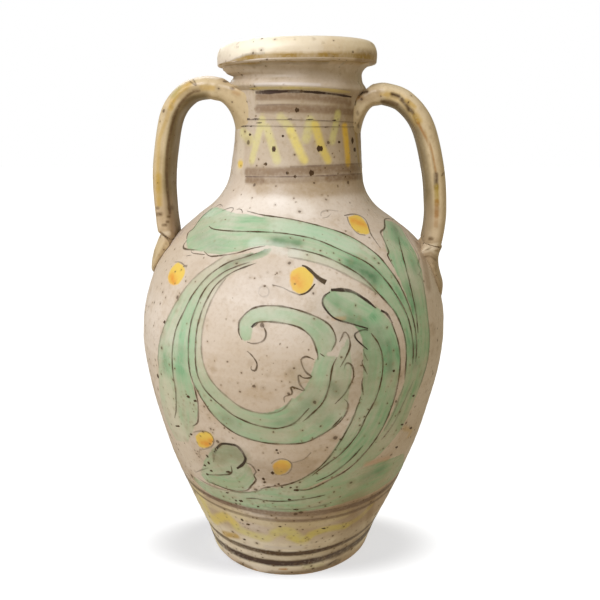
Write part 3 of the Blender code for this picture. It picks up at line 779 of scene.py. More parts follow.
def gas_pits(tree, place, pits):
    """Pits of every kind: how far a point lies in one, and how near it is to one."""
    blur = tree.nodes.new("ShaderNodeTexNoise")
    blur.inputs["Scale"].default_value = WANDER_SCALE
    feed(tree, blur.inputs["Vector"], place)
    wander = tree.nodes.new("ShaderNodeVectorMath")
    wander.operation = "MULTIPLY_ADD"
    feed(tree, wander.inputs[0], blur.outputs["Color"])
    wander.inputs[1].default_value = (PIT_WANDER, PIT_WANDER, PIT_WANDER)
    feed(tree, wander.inputs[2], place)
    crowd = product(tree, told(tree, "crowd"), patches(tree, place, 17, 2, 0.35, 0.6, 0.4, 1.5))
    specks, stains = 0.0, 0.0
    for scale, size, share in PIT_KINDS:
        cells = tree.nodes.new("ShaderNodeTexVoronoi")
        cells.inputs["Scale"].default_value = scale
        feed(tree, cells.inputs["Vector"], wander.outputs[0])
        lot = tree.nodes.new("ShaderNodeSeparateColor")
        feed(tree, lot.inputs[0], cells.outputs["Color"])
        chosen = figure(tree, "LESS_THAN", lot.outputs[0], product(tree, crowd, share * pits))
        radius = added(tree, lot.outputs[1], 1.6 * size, 0.4 * size)
        away = figure(tree, "DIVIDE", cells.outputs["Distance"], radius)
        specks = figure(tree, "MAXIMUM", specks, product(tree, ramp(tree, away, 1.25, 0.7), chosen))
        stains = figure(tree, "MAXIMUM", stains, product(tree, ramp(tree, away, 3.4, 0.8), chosen))
    return specks, stains


print("kinds of pit:", len(PIT_KINDS))

# %% The whole recipe
PIT, STAIN = pigment(72, 50, 28), pigment(150, 122, 84)
PIT_SHARE, STAIN_SHARE = 0.72, 0.30
CLAY, CLAY_DARK = pigment(196, 164, 122), pigment(150, 112, 74)
HANDLE_CREAM, HANDLE_BEIGE, HANDLE_PITS = pigment(228, 207, 170), pigment(206, 182, 140), 0.7
GLASS, SHEEN = 1.5, 0.32
BUMP, BUMP_DEPTH = 0.35, 0.00022


def glaze(name, ground, shade, pits):
    """A material for painted tin glaze, with its two ground colours and how thickly it is pitted."""
    material = bpy.data.materials.new(name)
    material.use_nodes = True
    tree = material.node_tree
    shader = tree.nodes["Principled BSDF"]
    place = tree.nodes.new("ShaderNodeTexCoord").outputs["Object"]

    colour = aged_ground(tree, place, ground, shade)
    colour = berried(tree, place, green_washed(tree, place, colour))
    ink = product(tree, told(tree, "ink"), patches(tree, place, 420, 3, 0.22, 0.6, 0.72, 1.0))
    colour = tint(tree, ink, colour, told(tree, "ink_colour", "Color"))
    specks, stains = gas_pits(tree, place, pits)
    colour = tint(tree, product(tree, stains, STAIN_SHARE), colour, STAIN)
    colour = tint(tree, product(tree, specks, PIT_SHARE), colour, PIT)
    rubbed = added(tree, cloud(tree, place, 130, 5), 1.1, told(tree, "bare"))
    rubbed = ramp(tree, rubbed, 0.92, 1.06)
    grit = tint(tree, cloud(tree, place, 900, 4), CLAY, CLAY_DARK)
    feed(tree, shader.inputs["Base Color"], tint(tree, rubbed, colour, grit))

    gloss = patches(tree, place, 55, 4, 0.3, 0.7, 0.26, 0.42)
    for mark, duller in ((specks, 0.3), (ink, 0.08), (rubbed, 0.5)):
        gloss = added(tree, mark, duller, gloss)
    feed(tree, shader.inputs["Roughness"], gloss)
    shader.inputs["IOR"].default_value = GLASS
    shader.inputs["Specular IOR Level"].default_value = SHEEN

    relief = added(tree, cloud(tree, place, 160, 3), 0.6, cloud(tree, place, 520, 3))
    relief = added(tree, specks, -1.6, relief)
    relief = added(tree, product(tree, rubbed, cloud(tree, place, 1400, 3)), 0.9, relief)
    bump = tree.nodes.new("ShaderNodeBump")
    bump.inputs["Strength"].default_value = BUMP
    bump.inputs["Distance"].default_value = BUMP_DEPTH
    feed(tree, bump.inputs["Height"], relief)
    feed(tree, shader.inputs["Normal"], bump.outputs[0])
    return material


body_glaze = glaze("body_glaze", CREAM, BEIGE, 1.0)
handle_glaze = glaze("handle_glaze", HANDLE_CREAM, HANDLE_BEIGE, HANDLE_PITS)
print("glaze nodes:", len(body_glaze.node_tree.nodes))

# %% [markdown]
# ## The four thrown rings
# Each ring is its wall spun round the axis: outside, over the edge, and back down the inside. Spinning
# with Blender's Screw modifier would do, but the wall also has to waver and settle, so the points are
# computed in one go and handed over as a mesh. The rings end exactly where their neighbours begin,
# because firing closed the seams.

# %% Spinning a ring
COLUMNS = 420
NECK_COLUMNS = 300
SHARP = math.radians(40)
CALM_RADIUS = 0.04


def piece(name, points, faces, material, slot, *stands_for):
    """A finished piece of the jug, which rides on the body and may stand for clay pieces of the frame."""
    mesh = bpy.data.meshes.new(name)
    mesh.from_pydata(np.asarray(points).tolist(), [], faces)
    made = bpy.data.objects.new(name, mesh)
    bpy.context.scene.collection.objects.link(made)
    mesh.materials.append(material)
    mesh.shade_smooth()
    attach(made, "root")
    if stands_for:
        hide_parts(*stands_for)
    return made


def quads(rows, columns):
    """Faces of a grid whose rows close on themselves."""
    here = np.arange(rows - 1)[:, None] * columns + np.arange(columns)
    beside = np.arange(rows - 1)[:, None] * columns + (np.arange(columns) + 1) % columns
    return np.stack((here, beside, beside + columns, here + columns), axis=-1).reshape(-1, 4).tolist()


def closed(made):
    """Joins doubled points, such as those on the axis, turns the faces out and keeps sharp edges crisp."""
    bm = bmesh.new()
    bm.from_mesh(made.data)
    bmesh.ops.remove_doubles(bm, verts=bm.verts, dist=1e-6)
    bmesh.ops.recalc_face_normals(bm, faces=bm.faces)
    bm.to_mesh(made.data)
    bm.free()
    made.data.set_sharp_from_angle(angle=SHARP)


def spun(name, profile, columns):
    """A profile spun round the axis, wavering and settled. It closes on the axis or on itself."""
    radius, height = profile[:, 0][:, None], profile[:, 1][:, None]
    angle = np.linspace(0, 2 * np.pi, columns, endpoint=False)[None, :]
    stand = radius + unevenness(angle, height) * np.clip(radius / CALM_RADIUS, 0, 1)
    points = settled(stand * np.cos(angle), stand * np.sin(angle), height + 0 * angle).reshape(-1, 3)
    faces = quads(len(profile), columns)
    if radius[0, 0] > 0:
        last = (len(profile) - 1) * columns
        faces += [(last + i, last + (i + 1) % columns, (i + 1) % columns, i) for i in range(columns)]
    made = piece(name, points, faces, body_glaze, "body_glaze", name)
    closed(made)
    return made


print("points round a ring:", COLUMNS, "on the body,", NECK_COLUMNS, "on the neck")

# %% The rings
INNER_RINGS = 24
FOOT_HOLLOW = ((0.0, 0.0016), (0.035, 0.0014), (0.055, 0.0008))
CORNER_IN, CORNER_END = 0.004, 0.014

inner_heights = np.linspace(BELLY_HEIGHT, 2 * FLOOR, INNER_RINGS)
lower_inner = np.stack((radius_at(inner_heights) - WALL, inner_heights), axis=-1)
inside_foot = lower_inner[-1, 0]
corner = [lower_inner[-1], (inside_foot - CORNER_IN, 1.25 * FLOOR), (inside_foot - CORNER_END, FLOOR)]
lower_floor = smooth(corner, 4)[1:]
base = smooth([*FOOT_HOLLOW, (FOOT_RADIUS - 3 * FOOT_EDGE, 0.0)], 6)
lower_profile = np.vstack((base, lower_wall, lower_inner, lower_floor, [(0.0, FLOOR)]))
upper_inner = upper_wall[::-3] - (WALL, 0.0)
neck_inner = neck_wall[::-4] - (WALL, 0.0)

rings = [
    spun("lower_body", lower_profile, COLUMNS),
    spun("upper_body", np.vstack((upper_wall, upper_inner)), COLUMNS),
    spun("neck", np.vstack((neck_wall, neck_inner)), NECK_COLUMNS),
    spun("mouth", mouth_profile, NECK_COLUMNS),
]
for ring in rings:
    print(ring.name, len(ring.data.polygons), "faces,", carry_washes(ring.data), "points outside")

# %% [markdown]
# ## Age, bare clay, painted shade and light
# The potter wiped the foot so that it would not stick in the kiln, and use has rubbed the edges. The lip
# is whitest, partly fresh glaze and partly painted light on its top, while the throat and neck have gone
# brown, the throat partly as painted shade under the lip. Pits crowd on the neck and the lower belly.
# Each ring gets these as values that change with height; the recipe breaks them up with clouds, so no
# border is ruled.

# %% Where the glaze is aged, pitted or rubbed off, with painted shade and light
FOOT_BARE, BARE_SHARE = 0.0021, 0.45
# The throat's brown here is partly painted shade under the lip; the lip top's white is partly painted
# light.
TONE_BY_HEIGHT = ((0.0, 0.15), (0.005, -0.15), (0.010, -0.62), (0.038, -0.62), (0.050, 0.0), (0.19, 0.0),
                  (0.298, 0.0), (0.312, 0.10), (0.335, 0.28), (0.364, 0.36), (0.3675, 0.30),
                  (0.3735, 0.36), (0.383, 0.28), (0.3862, 0.0), (0.391, -0.7), (0.402, -0.95))
CROWD_BY_HEIGHT = ((0.0, 1.3), (0.10, 1.2), (0.20, 0.8), (0.24, 0.55), (0.29, 0.5), (0.31, 0.6),
                   (0.36, 0.6), (0.38, 0.5))


def carry_age(mesh, height):
    """Tells each point how aged, with painted shade and light, and how pitted the glaze is at its height.
    """
    carry(mesh, "tone", np.interp(height, *np.transpose(TONE_BY_HEIGHT)))
    carry(mesh, "crowd", np.interp(height, *np.transpose(CROWD_BY_HEIGHT)))


for ring in rings:
    _, _, height = places(ring.data)
    carry(ring.data, "bare", BARE_SHARE * np.clip(1.6 - height / FOOT_BARE, 0, 1))
    carry_age(ring.data, height)
print("bare foot up to", round(1000 * FOOT_BARE, 1), "mm")

# %% [markdown]
# ## Stains, painted light and soft brushwork
# The friezes on the neck and foot are quick strokes of a soft brush, lemon where the pigment ran thin and
# ochre where it gathered, and the neck's broad stripes are as soft. They have no edge that a mesh could
# show, and neither have the stains of age, brown where the glaze is thick or was handled and pale where
# it stayed fresh, nor the painted light: brown painted shade down the right of the lip, neck, belly and
# foot and round the neck's base, and pale painted light and highlights on the left of the neck, belly and
# foot and on the shoulder. So these are laid into the wall's own points. Each is a line of pixels with a
# width, a colour and a strength, and later ones lie over earlier ones, as on the real jug.

# %% Stains and painted light
LEMON, OCHRE, LIME = pigment(238, 218, 112), pigment(196, 158, 66), pigment(226, 218, 128)
# The lavender on the next line is a painted highlight.
LEMON_DULL, LAVENDER_HIGHLIGHT = pigment(226, 208, 100), pigment(214, 204, 196)
# Of the next three colours, the second is a warm brown for painted shade.
OLIVE, PAINTED_SHADE, BAND = pigment(178, 148, 78), pigment(134, 98, 48), pigment(138, 112, 86)
# Each stain and soft stroke: its line, its width in pixels, its colour, and its strength.
AGED_STAINS_AND_PAINTED_SHADE = [
    # Painted shade, warm brown: down the right of the lip and the neck, and round the neck's base.
    ([(285, 45), (330, 46), (374, 51)], 30, pigment(216, 186, 130), 0.25),
    ([(335, 47), (374, 51)], 30, pigment(206, 172, 112), 0.3),
    ([(312, 105), (322, 140), (324, 168)], 56, pigment(160, 134, 98), 0.28),
    ([(360, 57), (377, 58)], 16, PAINTED_SHADE, 0.6),
    ([(345, 105), (350, 135), (352, 160)], 44, pigment(150, 120, 76), 0.40),
    ([(359, 104), (361, 135), (362.5, 166)], 13, PAINTED_SHADE, 0.6),
    ([(262, 188), (300, 189), (340, 188), (366, 184)], 19, pigment(160, 132, 92), 0.5),
    # Painted shade on the right of the belly, and on the left below the shoulder.
    ([(330, 320), (350, 350), (352, 385)], 64, pigment(122, 110, 72), 0.2),
    ([(350, 328), (364, 345), (368, 365)], 40, pigment(96, 104, 64), 0.18),
    ([(200, 270), (230, 272), (265, 279)], 46, pigment(190, 170, 146), 0.42),
    # Browner patches low on the belly and over the foot bands; the last of them, low at the front, is
    # painted shade.
    ([(225, 466), (250, 468), (268, 470)], 36, pigment(150, 126, 92), 0.2),
    ([(300, 375), (312, 400), (322, 418)], 30, pigment(110, 112, 76), 0.2),
    ([(252, 557), (290, 559), (328, 553)], 16, pigment(150, 130, 96), 0.3),
    ([(258, 470), (280, 477), (305, 468)], 28, pigment(150, 122, 84), 0.4),
    # Small stains, and brown on the wall beside the right tail.
    ([(332, 318.5), (345, 318.5)], 4, pigment(190, 140, 84), 0.5),
    ([(366, 464), (377, 461), (388, 458)], 8, pigment(206, 168, 136), 0.6),
    ([(418, 245), (424, 262), (428, 285)], 16, pigment(160, 134, 104), 0.6),
    ([(404, 428), (411, 431), (408, 436)], 7, pigment(206, 168, 84), 0.5),
    # Painted shade down the right of the foot.
    ([(350, 505), (352, 530), (345, 552)], 42, PAINTED_SHADE, 0.4),
    ([(371, 497), (370, 512), (367, 530)], 12, PAINTED_SHADE, 0.45),
    # The worn, browned rim of the foot.
    ([(236, 562), (260, 571.5), (285, 574.5), (312, 571.5), (338, 562)], 9, pigment(112, 90, 62), 0.75),
]
FRESH_GLAZE_AND_PAINTED_LIGHT = [
    # Painted light on the left of the neck, and painted highlights of gloss on the shoulder and where the
    # stems meet the leaf.
    ([(238, 125), (240, 145), (238, 165)], 18, pigment(236, 222, 196), 0.4),
    ([(235, 205), (270, 207), (305, 210)], 26, pigment(248, 238, 226), 0.45),
    ([(255, 243), (275, 248), (295, 252)], 17, pigment(232, 234, 224), 0.35),
    # Painted light down the left of the belly, and a painted sheen on the shoulder leaf.
    ([(168, 385), (172, 410), (182, 430)], 24, pigment(214, 212, 184), 0.4),
    ([(158, 370), (168, 410), (186, 455)], 44, pigment(228, 214, 190), 0.32),
    ([(278, 227), (315, 233), (350, 246)], 22, pigment(196, 218, 190), 0.5),
    # Painted light on the left of the foot, except the long stroke across it, the glaze's own pale colour.
    ([(198, 494), (206, 518), (216, 538)], 32, pigment(238, 224, 174), 0.8),
    ([(228, 510), (265, 523), (310, 525), (345, 514)], 14, pigment(224, 208, 160), 0.45),
    ([(208, 503), (222, 510), (240, 517)], 15, pigment(230, 214, 168), 0.5),
    # Painted highlights in lavender: gloss above the cordon and on the foot's bands.
    ([(255, 84.6), (288, 83.6), (320, 84.6)], 3.6, LAVENDER_HIGHLIGHT, 0.6),
    ([(266, 547), (284, 548), (302, 547)], 6, LAVENDER_HIGHLIGHT, 0.5),
    # A pale patch on the foot's rim.
    ([(305, 567.6), (313, 567), (323, 564.6)], 5, pigment(216, 208, 168), 0.8),
]
CLOVER_STAINS = [
    ([(218, 456), (228, 451), (240, 456)], 24, pigment(146, 140, 108), 0.6),
    ([(216, 481), (230, 485), (246, 480)], 14, pigment(164, 172, 130), 0.4),
]
NECK_STRIPES = [
    ([(258, 97), (284, 96.4), (300, 96.8), (320, 98.2), (340, 100.8), (350, 103)], 8, BAND, 0.9),
    ([(258, 109), (285, 108.8), (300, 109), (320, 109.6), (340, 110.8), (355, 112.8)], 9, BAND, 0.9),
    ([(247, 171.8), (270, 172), (300, 171), (330, 169.4), (360, 168)], 10, BAND, 0.85),
    ([(247, 180), (262, 181)], 8, BAND, 0.9),
    ([(266, 181), (300, 180), (330, 178.4)], 7, BAND, 0.5),
    ([(328, 178.5), (345, 177.4), (361, 176.4)], 8, BAND, 0.9),
]
NECK_FRIEZE = [
    ([(242, 132), (250, 140)], 13, LIME, 0.45),
    ([(262, 120), (257, 140), (252, 160)], 10, LIME, 0.5),
    ([(267, 128), (272, 144), (277, 160)], 10, LIME, 0.5),
    ([(281, 118), (285, 122), (290, 128)], 10, LIME, 0.45),
    ([(291, 131), (297, 145), (304, 160)], 10, LEMON, 0.72),
    ([(310, 120), (308, 130), (306, 139)], 10, LIME, 0.5),
    ([(315, 125), (321, 146), (328, 160)], 10, pigment(232, 206, 92), 0.75),
    ([(338, 114), (335, 128), (332, 141)], 9, LIME, 0.55),
    ([(345, 127), (347, 146), (348, 162)], 10, pigment(232, 190, 70), 0.95),
    ([(356, 126), (358, 145), (359.5, 162)], 9, OLIVE, 0.8),
    ([(238.6, 164), (240.4, 164)], 9, GOLD, 0.9),
]
FOOT_WAVE = [(201, 499), (205, 507), (213, 521), (219, 517.5), (226, 516), (232, 523.5), (238, 530.5),
             (246, 533), (255, 536), (262, 539.5), (270, 538), (278, 531), (286, 529.5), (293, 533),
             (298, 540), (304, 542.5), (309, 536.5), (317, 532), (325, 529.5), (335, 527), (345, 525.5),
             (355, 520.5), (364, 513), (370, 506)]
FOOT_FRIEZE = [
    ([(202, 499), (207, 510), (214, 520)], 13, pigment(234, 218, 142), 0.55),
    (FOOT_WAVE, 10, LEMON_DULL, 0.32),
    ([(213, 520), (220, 518), (227, 517), (234, 523)], 13, pigment(230, 206, 100), 0.7),
    ([(238, 528), (250, 534), (266, 538)], 14, LIME, 0.45),
    ([(276, 533), (288, 532), (298, 538)], 15, LIME, 0.5),
    ([(290, 538), (300, 541), (308, 538)], 10, pigment(222, 206, 92), 0.55),
    ([(312, 534), (326, 529.5), (346, 526)], 12, pigment(218, 202, 96), 0.6),
    ([(225, 534), (236, 536)], 10, OCHRE, 0.85),
    ([(280, 569.4), (286, 569.4)], 3.4, pigment(188, 128, 58), 0.9),
]
STAINS_AND_PAINTED_LIGHT = [*AGED_STAINS_AND_PAINTED_SHADE, *FRESH_GLAZE_AND_PAINTED_LIGHT, *CLOVER_STAINS, *NECK_STRIPES, *NECK_FRIEZE, *FOOT_FRIEZE]
BRUSH_SPREAD = 0.62
STAIN_EDGE = 1.5


def lay(ink, colours, laid, colour):
    """Lays more pigment over points that carry some: the new strength and colour of each."""
    over = laid + ink * (1 - laid)
    return over, colours + (laid / np.maximum(over, 1e-6))[:, None] * (np.array(colour) - colours)


def stained(angle, height):
    """How strongly the stains, painted light and painted shade colour points of the wall, and in which
    colour.
    """
    ink, colours = np.zeros(len(angle)), np.zeros((len(angle), 3))
    for turn in TURNS:
        ground = true_wall(turned_back(angle, turn), height)
        for pixels, width, colour, strength in STAINS_AND_PAINTED_LIGHT:
            line = true_wall(*seen_on_wall(even(pixels, 3 * len(pixels))))
            reach = BRUSH_SPREAD * width * np.linalg.norm(line[0] - CAMERA_PLACE) / FOCAL
            near = np.nonzero(((ground > line.min(0) - reach) & (ground < line.max(0) + reach)).all(1))[0]
            away, _, _ = off_line(ground[near], line)
            laid = strength * ease(STAIN_EDGE * (1 - away / reach))
            ink[near], colours[near] = lay(ink[near], colours[near], laid, colour)
    return ink, colours


def carry_ink(mesh, ink, colours):
    """Gives every point of a mesh its strength of pigment and that pigment's colour."""
    carry(mesh, "ink", ink)
    carry(mesh, "ink_colour", np.hstack((colours, np.ones((len(colours), 1)))), "FLOAT_COLOR")


for ring in rings:
    angle, radius, height = places(ring.data)
    outside = on_outside(radius, height)
    ink, colours = np.zeros(len(angle)), np.zeros((len(angle), 3))
    ink[outside], colours[outside] = stained(angle[outside], height[outside])
    carry_ink(ring.data, ink, colours)
    print(ring.name, int((ink > 0.3).sum()), "points stained")

# %% [markdown]
# ## Brush lines as thin skins
# A brush line in manganese brown stands a hair above the glaze it sank into. Each line is built as a
# ribbon that follows the wall a tenth of a millimetre out, five points wide: full of pigment in its
# middle and empty at its edges, where it melts into the ground because both use one recipe. The wall's
# own normals shade it, so no edge catches the light.

# %% Ribbons on the wall
INK, INK_DARK = pigment(84, 66, 44), pigment(64, 53, 42)
PROUD = 0.00012
STROKE_STEP, TAPER_STEPS, SOFT_END = 1.6, 5.0, 0.14
SLOW_SHAKE, QUICK_SHAKE, QUICK_SHARE = 9.1 / 22, 23.7 / 22, 0.55
FADING, FADE_SHAKE = 0.18, 5.3 / 20
HOOP_STEP, HOOP_SPREAD, HOOP_END, HOOP_FADING = 1.2, 0.58, 0.25, 0.14
DOT_STEPS = 9
# Each brush: places across its line from edge to edge, and the share of pigment at each.
BRUSHES = {
    "line": np.array(((-1.0, -0.62, 0.0, 0.62, 1.0), (0.0, 0.85, 1.0, 0.85, 0.0))),
    "loaded": np.array(((-1.0, -0.82, 0.0, 0.82, 1.0), (0.0, 1.0, 1.0, 1.0, 0.0))),
    "soft": np.array(((-1.0, -0.5, 0.0, 0.5, 1.0), (0.0, 0.6, 1.0, 0.6, 0.0))),
    "flat": np.array(((-1.0, -0.7, 0.0, 0.7, 1.0), (0.0, 0.9, 1.0, 0.9, 0.0))),
    "band": np.array(((-1.0, -0.45, 0.0, 0.45, 1.0), (0.0, 0.85, 0.9, 1.0, 0.0))),
}


class Brushwork:
    """Collects the ribbons of one kind of painting, and makes them into one piece."""

    def __init__(self):
        self.points, self.normals, self.faces, self.ink, self.colours = [], [], [], [], []
        self.count = 0

    def ribbon(self, angle, height, half, ink, colours, brush="line"):
        """A ribbon along a line on the wall, with its half width, its strength and its colour along it."""
        across, full = BRUSHES[brush]
        line = on_wall(angle, height)
        normal = wall_normal(angle, height)
        ahead = np.gradient(line, axis=0)
        side = np.cross(normal, ahead)
        side /= np.maximum(np.linalg.norm(side, axis=1, keepdims=True), 1e-9)
        spread = line[:, None, :] + side[:, None, :] * (half[:, None] * across)[..., None]
        round_it, _, up_it = unsettled(spread)
        rows, columns = spread.shape[:2]
        self.points.append(on_wall(round_it, up_it, PROUD).reshape(-1, 3))
        self.normals.append(wall_normal(round_it, up_it).reshape(-1, 3))
        self.ink.append((ink[:, None] * full).ravel())
        self.colours.append(np.repeat(colours, columns, axis=0))
        here = self.count + np.arange(rows - 1)[:, None] * columns + np.arange(columns - 1)
        corners = np.stack((here, here + columns, here + columns + 1, here + 1), axis=-1)
        self.faces += corners.reshape(-1, 4).tolist()
        self.count += rows * columns

    def stroke(self, pixels, width, colour, ink=1.0, tail=0.35, brush="line", loose=0.22, grow=1.0):
        """One brush stroke through pixels of the photograph, thin at its ends and held loosely."""
        length = np.linalg.norm(np.diff(np.array(pixels, float), axis=0), axis=1).sum()
        steps = max(6, int(length / STROKE_STEP))
        angle, height = seen_on_wall(even(pixels, steps))
        t = np.linspace(0, 1, steps)
        depth = np.linalg.norm(on_wall(angle, height) - CAMERA_PLACE, axis=1)
        taper = tail + (1 - tail) * ease(np.minimum(t, 1 - t) * steps / TAPER_STEPS)
        slow = np.sin(SLOW_SHAKE * t * steps + pixels[0][0])
        waver = slow + QUICK_SHARE * np.sin(QUICK_SHAKE * t * steps + pixels[0][1])
        half = BRUSH_SPREAD * width * depth / FOCAL * taper * (1 + loose * waver) * (1 + (grow - 1) * t)
        fade = ink * (1 - FADING + FADING * np.sin(FADE_SHAKE * t * steps + pixels[0][1]))
        if brush == "soft":
            fade *= ease(np.minimum(t, 1 - t) / SOFT_END)
        for turn in TURNS:
            self.ribbon(angle + turn, height, half, fade, np.tile(colour, (steps, 1)), brush)

    def hoop(self, pixel, width, colour, start, sweep, ink=1.0, rise=0.0, waver=0.0004):
        """A line round the jug at the height of a pixel, from a start angle by a sweep in degrees."""
        _, height = seen_on_wall([pixel])
        steps = int(abs(sweep) / HOOP_STEP)
        angle = np.radians(start) + np.radians(sweep) * np.linspace(0, 1, steps)
        depth = np.linalg.norm(on_wall(np.array([-0.5 * np.pi]), height) - CAMERA_PLACE, axis=1)
        from_end = np.minimum(np.arange(steps), np.arange(steps)[::-1])
        ends = HOOP_END + (1 - HOOP_END) * ease(from_end / 4.0)
        uneven = 1 + 0.13 * np.sin(3 * angle + pixel[1]) + 0.06 * np.sin(17 * angle)
        half = HOOP_SPREAD * width * depth / FOCAL * ends * uneven
        wobble = np.sin(2 * angle + pixel[1]) + 0.5 * np.sin(5 * angle)
        level = height + rise * np.cos(angle) + waver * wobble
        fade = ink * (1 - HOOP_FADING + HOOP_FADING * np.sin(4 * angle + 2 * pixel[1]))
        self.ribbon(angle, level, half, fade, np.tile(colour, (steps, 1)), "band")

    def dot(self, pixel, wide, tall, colour, ink=1.5):
        """A rounded speck of pigment, this wide and tall in pixels."""
        t = np.linspace(-1, 1, DOT_STEPS)
        line = np.stack((pixel[0] + 0.5 * wide * t, np.full(DOT_STEPS, pixel[1])), axis=-1)
        angle, height = seen_on_wall(line)
        depth = np.linalg.norm(on_wall(angle, height) - CAMERA_PLACE, axis=1)
        ragged = 1 + 0.22 * np.sin(5 * t + pixel[1])
        half = 0.5 * tall * depth / FOCAL * np.sqrt(1.02 - t**2) * ragged
        full, colours = np.full(DOT_STEPS, ink), np.tile(colour, (DOT_STEPS, 1))
        for turn in TURNS:
            self.ribbon(angle + turn, height, half, full, colours, "loaded")

    def made(self, name):
        """The finished piece. Its pigment lies over the stains, painted light and painted shade below it.
        """
        found = piece(name, np.vstack(self.points), self.faces, body_glaze, "body_glaze")
        found.data.normals_split_custom_set_from_vertices(np.vstack(self.normals).tolist())
        angle, _, height = places(found.data)
        under, under_colours = stained(angle, height)
        ink = np.concatenate(self.ink)
        below = under * (1 - np.minimum(ink, 1))
        share = (ink / np.maximum(ink + below, 1e-6))[:, None]
        colours = under_colours + share * (np.vstack(self.colours) - under_colours)
        carry_ink(found.data, ink + below, colours)
        carry_washes(found.data)
        carry_age(found.data, height)
        print(name, len(self.faces), "faces")
        return found


print("brushes:", list(BRUSHES))

# %% Outlines and veins of the scroll
FAINT = {"outer": 0.5, "inner": 0.6, "low_a": 0.5, "low_b": 0.5, "under": 0.5, "clover_left": 0.6,
         "sweep_foot": 0.5, "scribble_a": 0.5, "scribble_b": 0.5, "ring": 0.25, "sweep_left": 0.6,
         "clover_fold": 0.6}
LOADED = {"crown": (4.0, 0.5), "clover_top": (2.6, 1.1), "back_top": (3.5, 0.45), "loop": (2.0, 0.75),
          "notch": (1.7, 0.9), "hook": (2.6, 0.6)}
BROAD = {"under": 2.0, "clover_fold": 2.6}
LINE_WIDTH, LINE_INK, FIRM_INK = 1.7, 1.1, 1.2
FIRM = {"end_top", "end_side", "end_foot", "end_edge", "curl_a", "curl_b", "curl_c", "rib", "crest"}

scroll = Brushwork()
for lines in plants.values():
    for name, pixels in lines.items():
        if name in LOADED:
            width, grow = LOADED[name]
            scroll.stroke(pixels, width, INK_DARK, 1.3, 0.7, brush="flat", loose=0.1, grow=grow)
        else:
            ink = FIRM_INK if name in FIRM else FAINT.get(name, LINE_INK)
            scroll.stroke(pixels, BROAD.get(name, LINE_WIDTH), INK, ink)
scroll.made("scroll_lines")

# %% [markdown]
# ## Bands, pits and berries
# Turning the jug on a wheel, the painter held a loaded brush still to band the neck and the foot in thin
# brown. The foot's lines are hoops of ribbon, and the neck's are strokes that stop short of the handles.
# Where gas left the clay the glaze has burst into pits; the large ones are dots of the same ribbon,
# because they have a place of their own, and the recipe scatters the small ones. The berries are single
# drops of the brush, golden where the pigment ran thin and orange where it gathered, with a loose outline.

# %% Bands round neck and foot
FOOT_BAND_RISE, BAND_SPREAD = 0.0022, 1.15
VIOLET, VIOLET_DARK = pigment(108, 82, 62), pigment(74, 55, 47)
BAND_DARK, BAND_RED, UMBER = pigment(66, 48, 40), pigment(96, 72, 60), pigment(84, 62, 42)
LIP_BAND = [(220, 65.5), (238, 61.6), (258, 58.4), (280, 57.4), (300, 57.2), (325, 57), (350, 57.4),
            (374, 59.4)]
THROAT_BAND = [(250, 88.8), (270, 88), (300, 88.2), (325, 89.6), (350, 92.5)]
# A brown line under the cordon, partly its painted shadow.
CORDON_LINE_AND_SHADOW = [(255.5, 92.4), (284, 91.4), (300, 91.6), (314, 92.2), (332, 94), (344, 95.7), (351.6, 97)]
# Each band and stroke: its line, its width in pixels, its colour, and its strength.
NECK_BANDS = [
    (LIP_BAND, 8.5, pigment(164, 132, 66), 1.1),
    (THROAT_BAND, 3.6, pigment(224, 202, 128), 0.85),
    ([(256, 105), (285, 104.6), (300, 104.8)], 1.2, BAND_RED, 0.5),
    ([(240, 119.8), (270, 119.6), (300, 120), (330, 121), (358, 122.6)], 1.1, BAND_DARK, 0.65),
    ([(240, 125.8), (270, 126.2), (300, 126.6), (330, 126.8), (360, 127)], 1.1, BAND_DARK, 0.65),
    ([(290, 166.8), (320, 165.6), (340, 164.6), (361, 163.6)], 1.6, BAND_RED, 0.6),
    ([(245, 176.6), (275, 176.8), (300, 176.4), (330, 175.4), (362, 173.6)], 1.3, BAND_RED, 0.8),
]
# Each fleck: where it begins and ends from left to right, and how far down the picture it lies.
FLECKS = [
    (245, 250, 119.4), (252, 260, 119.4), (287, 292, 119.4), (306, 313, 119.8), (332, 336, 120.6),
    (240.5, 248, 126.4), (250, 252, 126.4), (256, 262, 123), (324, 328, 127.2),
]
# Each hoop: a pixel that it passes, its width, its colour, its starting angle, its strength and its rise.
FOOT_BANDS = [
    ((297, 514.4), 8.6, VIOLET, 80.0, 1.0, 0.0),
    ((290, 521.2), 5.4, VIOLET, 110.0, 0.85, 0.0),
    ((290, 553.6), 8.2, UMBER, 95.0, 1.3, FOOT_BAND_RISE),
    ((284, 563.6), 10.6, VIOLET_DARK, 70.0, 1.35, FOOT_BAND_RISE),
]
FOOT_STROKES = [
    ([(327, 566.5), (333, 562), (338, 559)], 2.2, BAND_DARK, 1.0),
    ([(216, 536), (219, 541), (225, 547)], 6.6, BAND_DARK, 1.5),
]
bands = Brushwork()
for pixels, width, shade, ink in NECK_BANDS:
    bands.stroke(pixels, BAND_SPREAD * width, shade, ink, 0.7, brush="band", loose=0.06)
bands.stroke(CORDON_LINE_AND_SHADOW, 3.6, BAND_DARK, 1.4, 0.8, brush="flat", loose=0.15, grow=0.45)
for left, right, level in FLECKS:
    bands.stroke([(left, level), (right, level - 0.4)], 2.4, BAND_DARK, 1.2)
for pixel, width, shade, start, ink, rise in FOOT_BANDS:
    bands.hoop(pixel, width, shade, start, 361.0, ink, rise)
for pixels, width, shade, ink in FOOT_STROKES:
    bands.stroke(pixels, width, shade, ink, 0.5, brush="soft", loose=0.1)
bands.made("brown_bands")

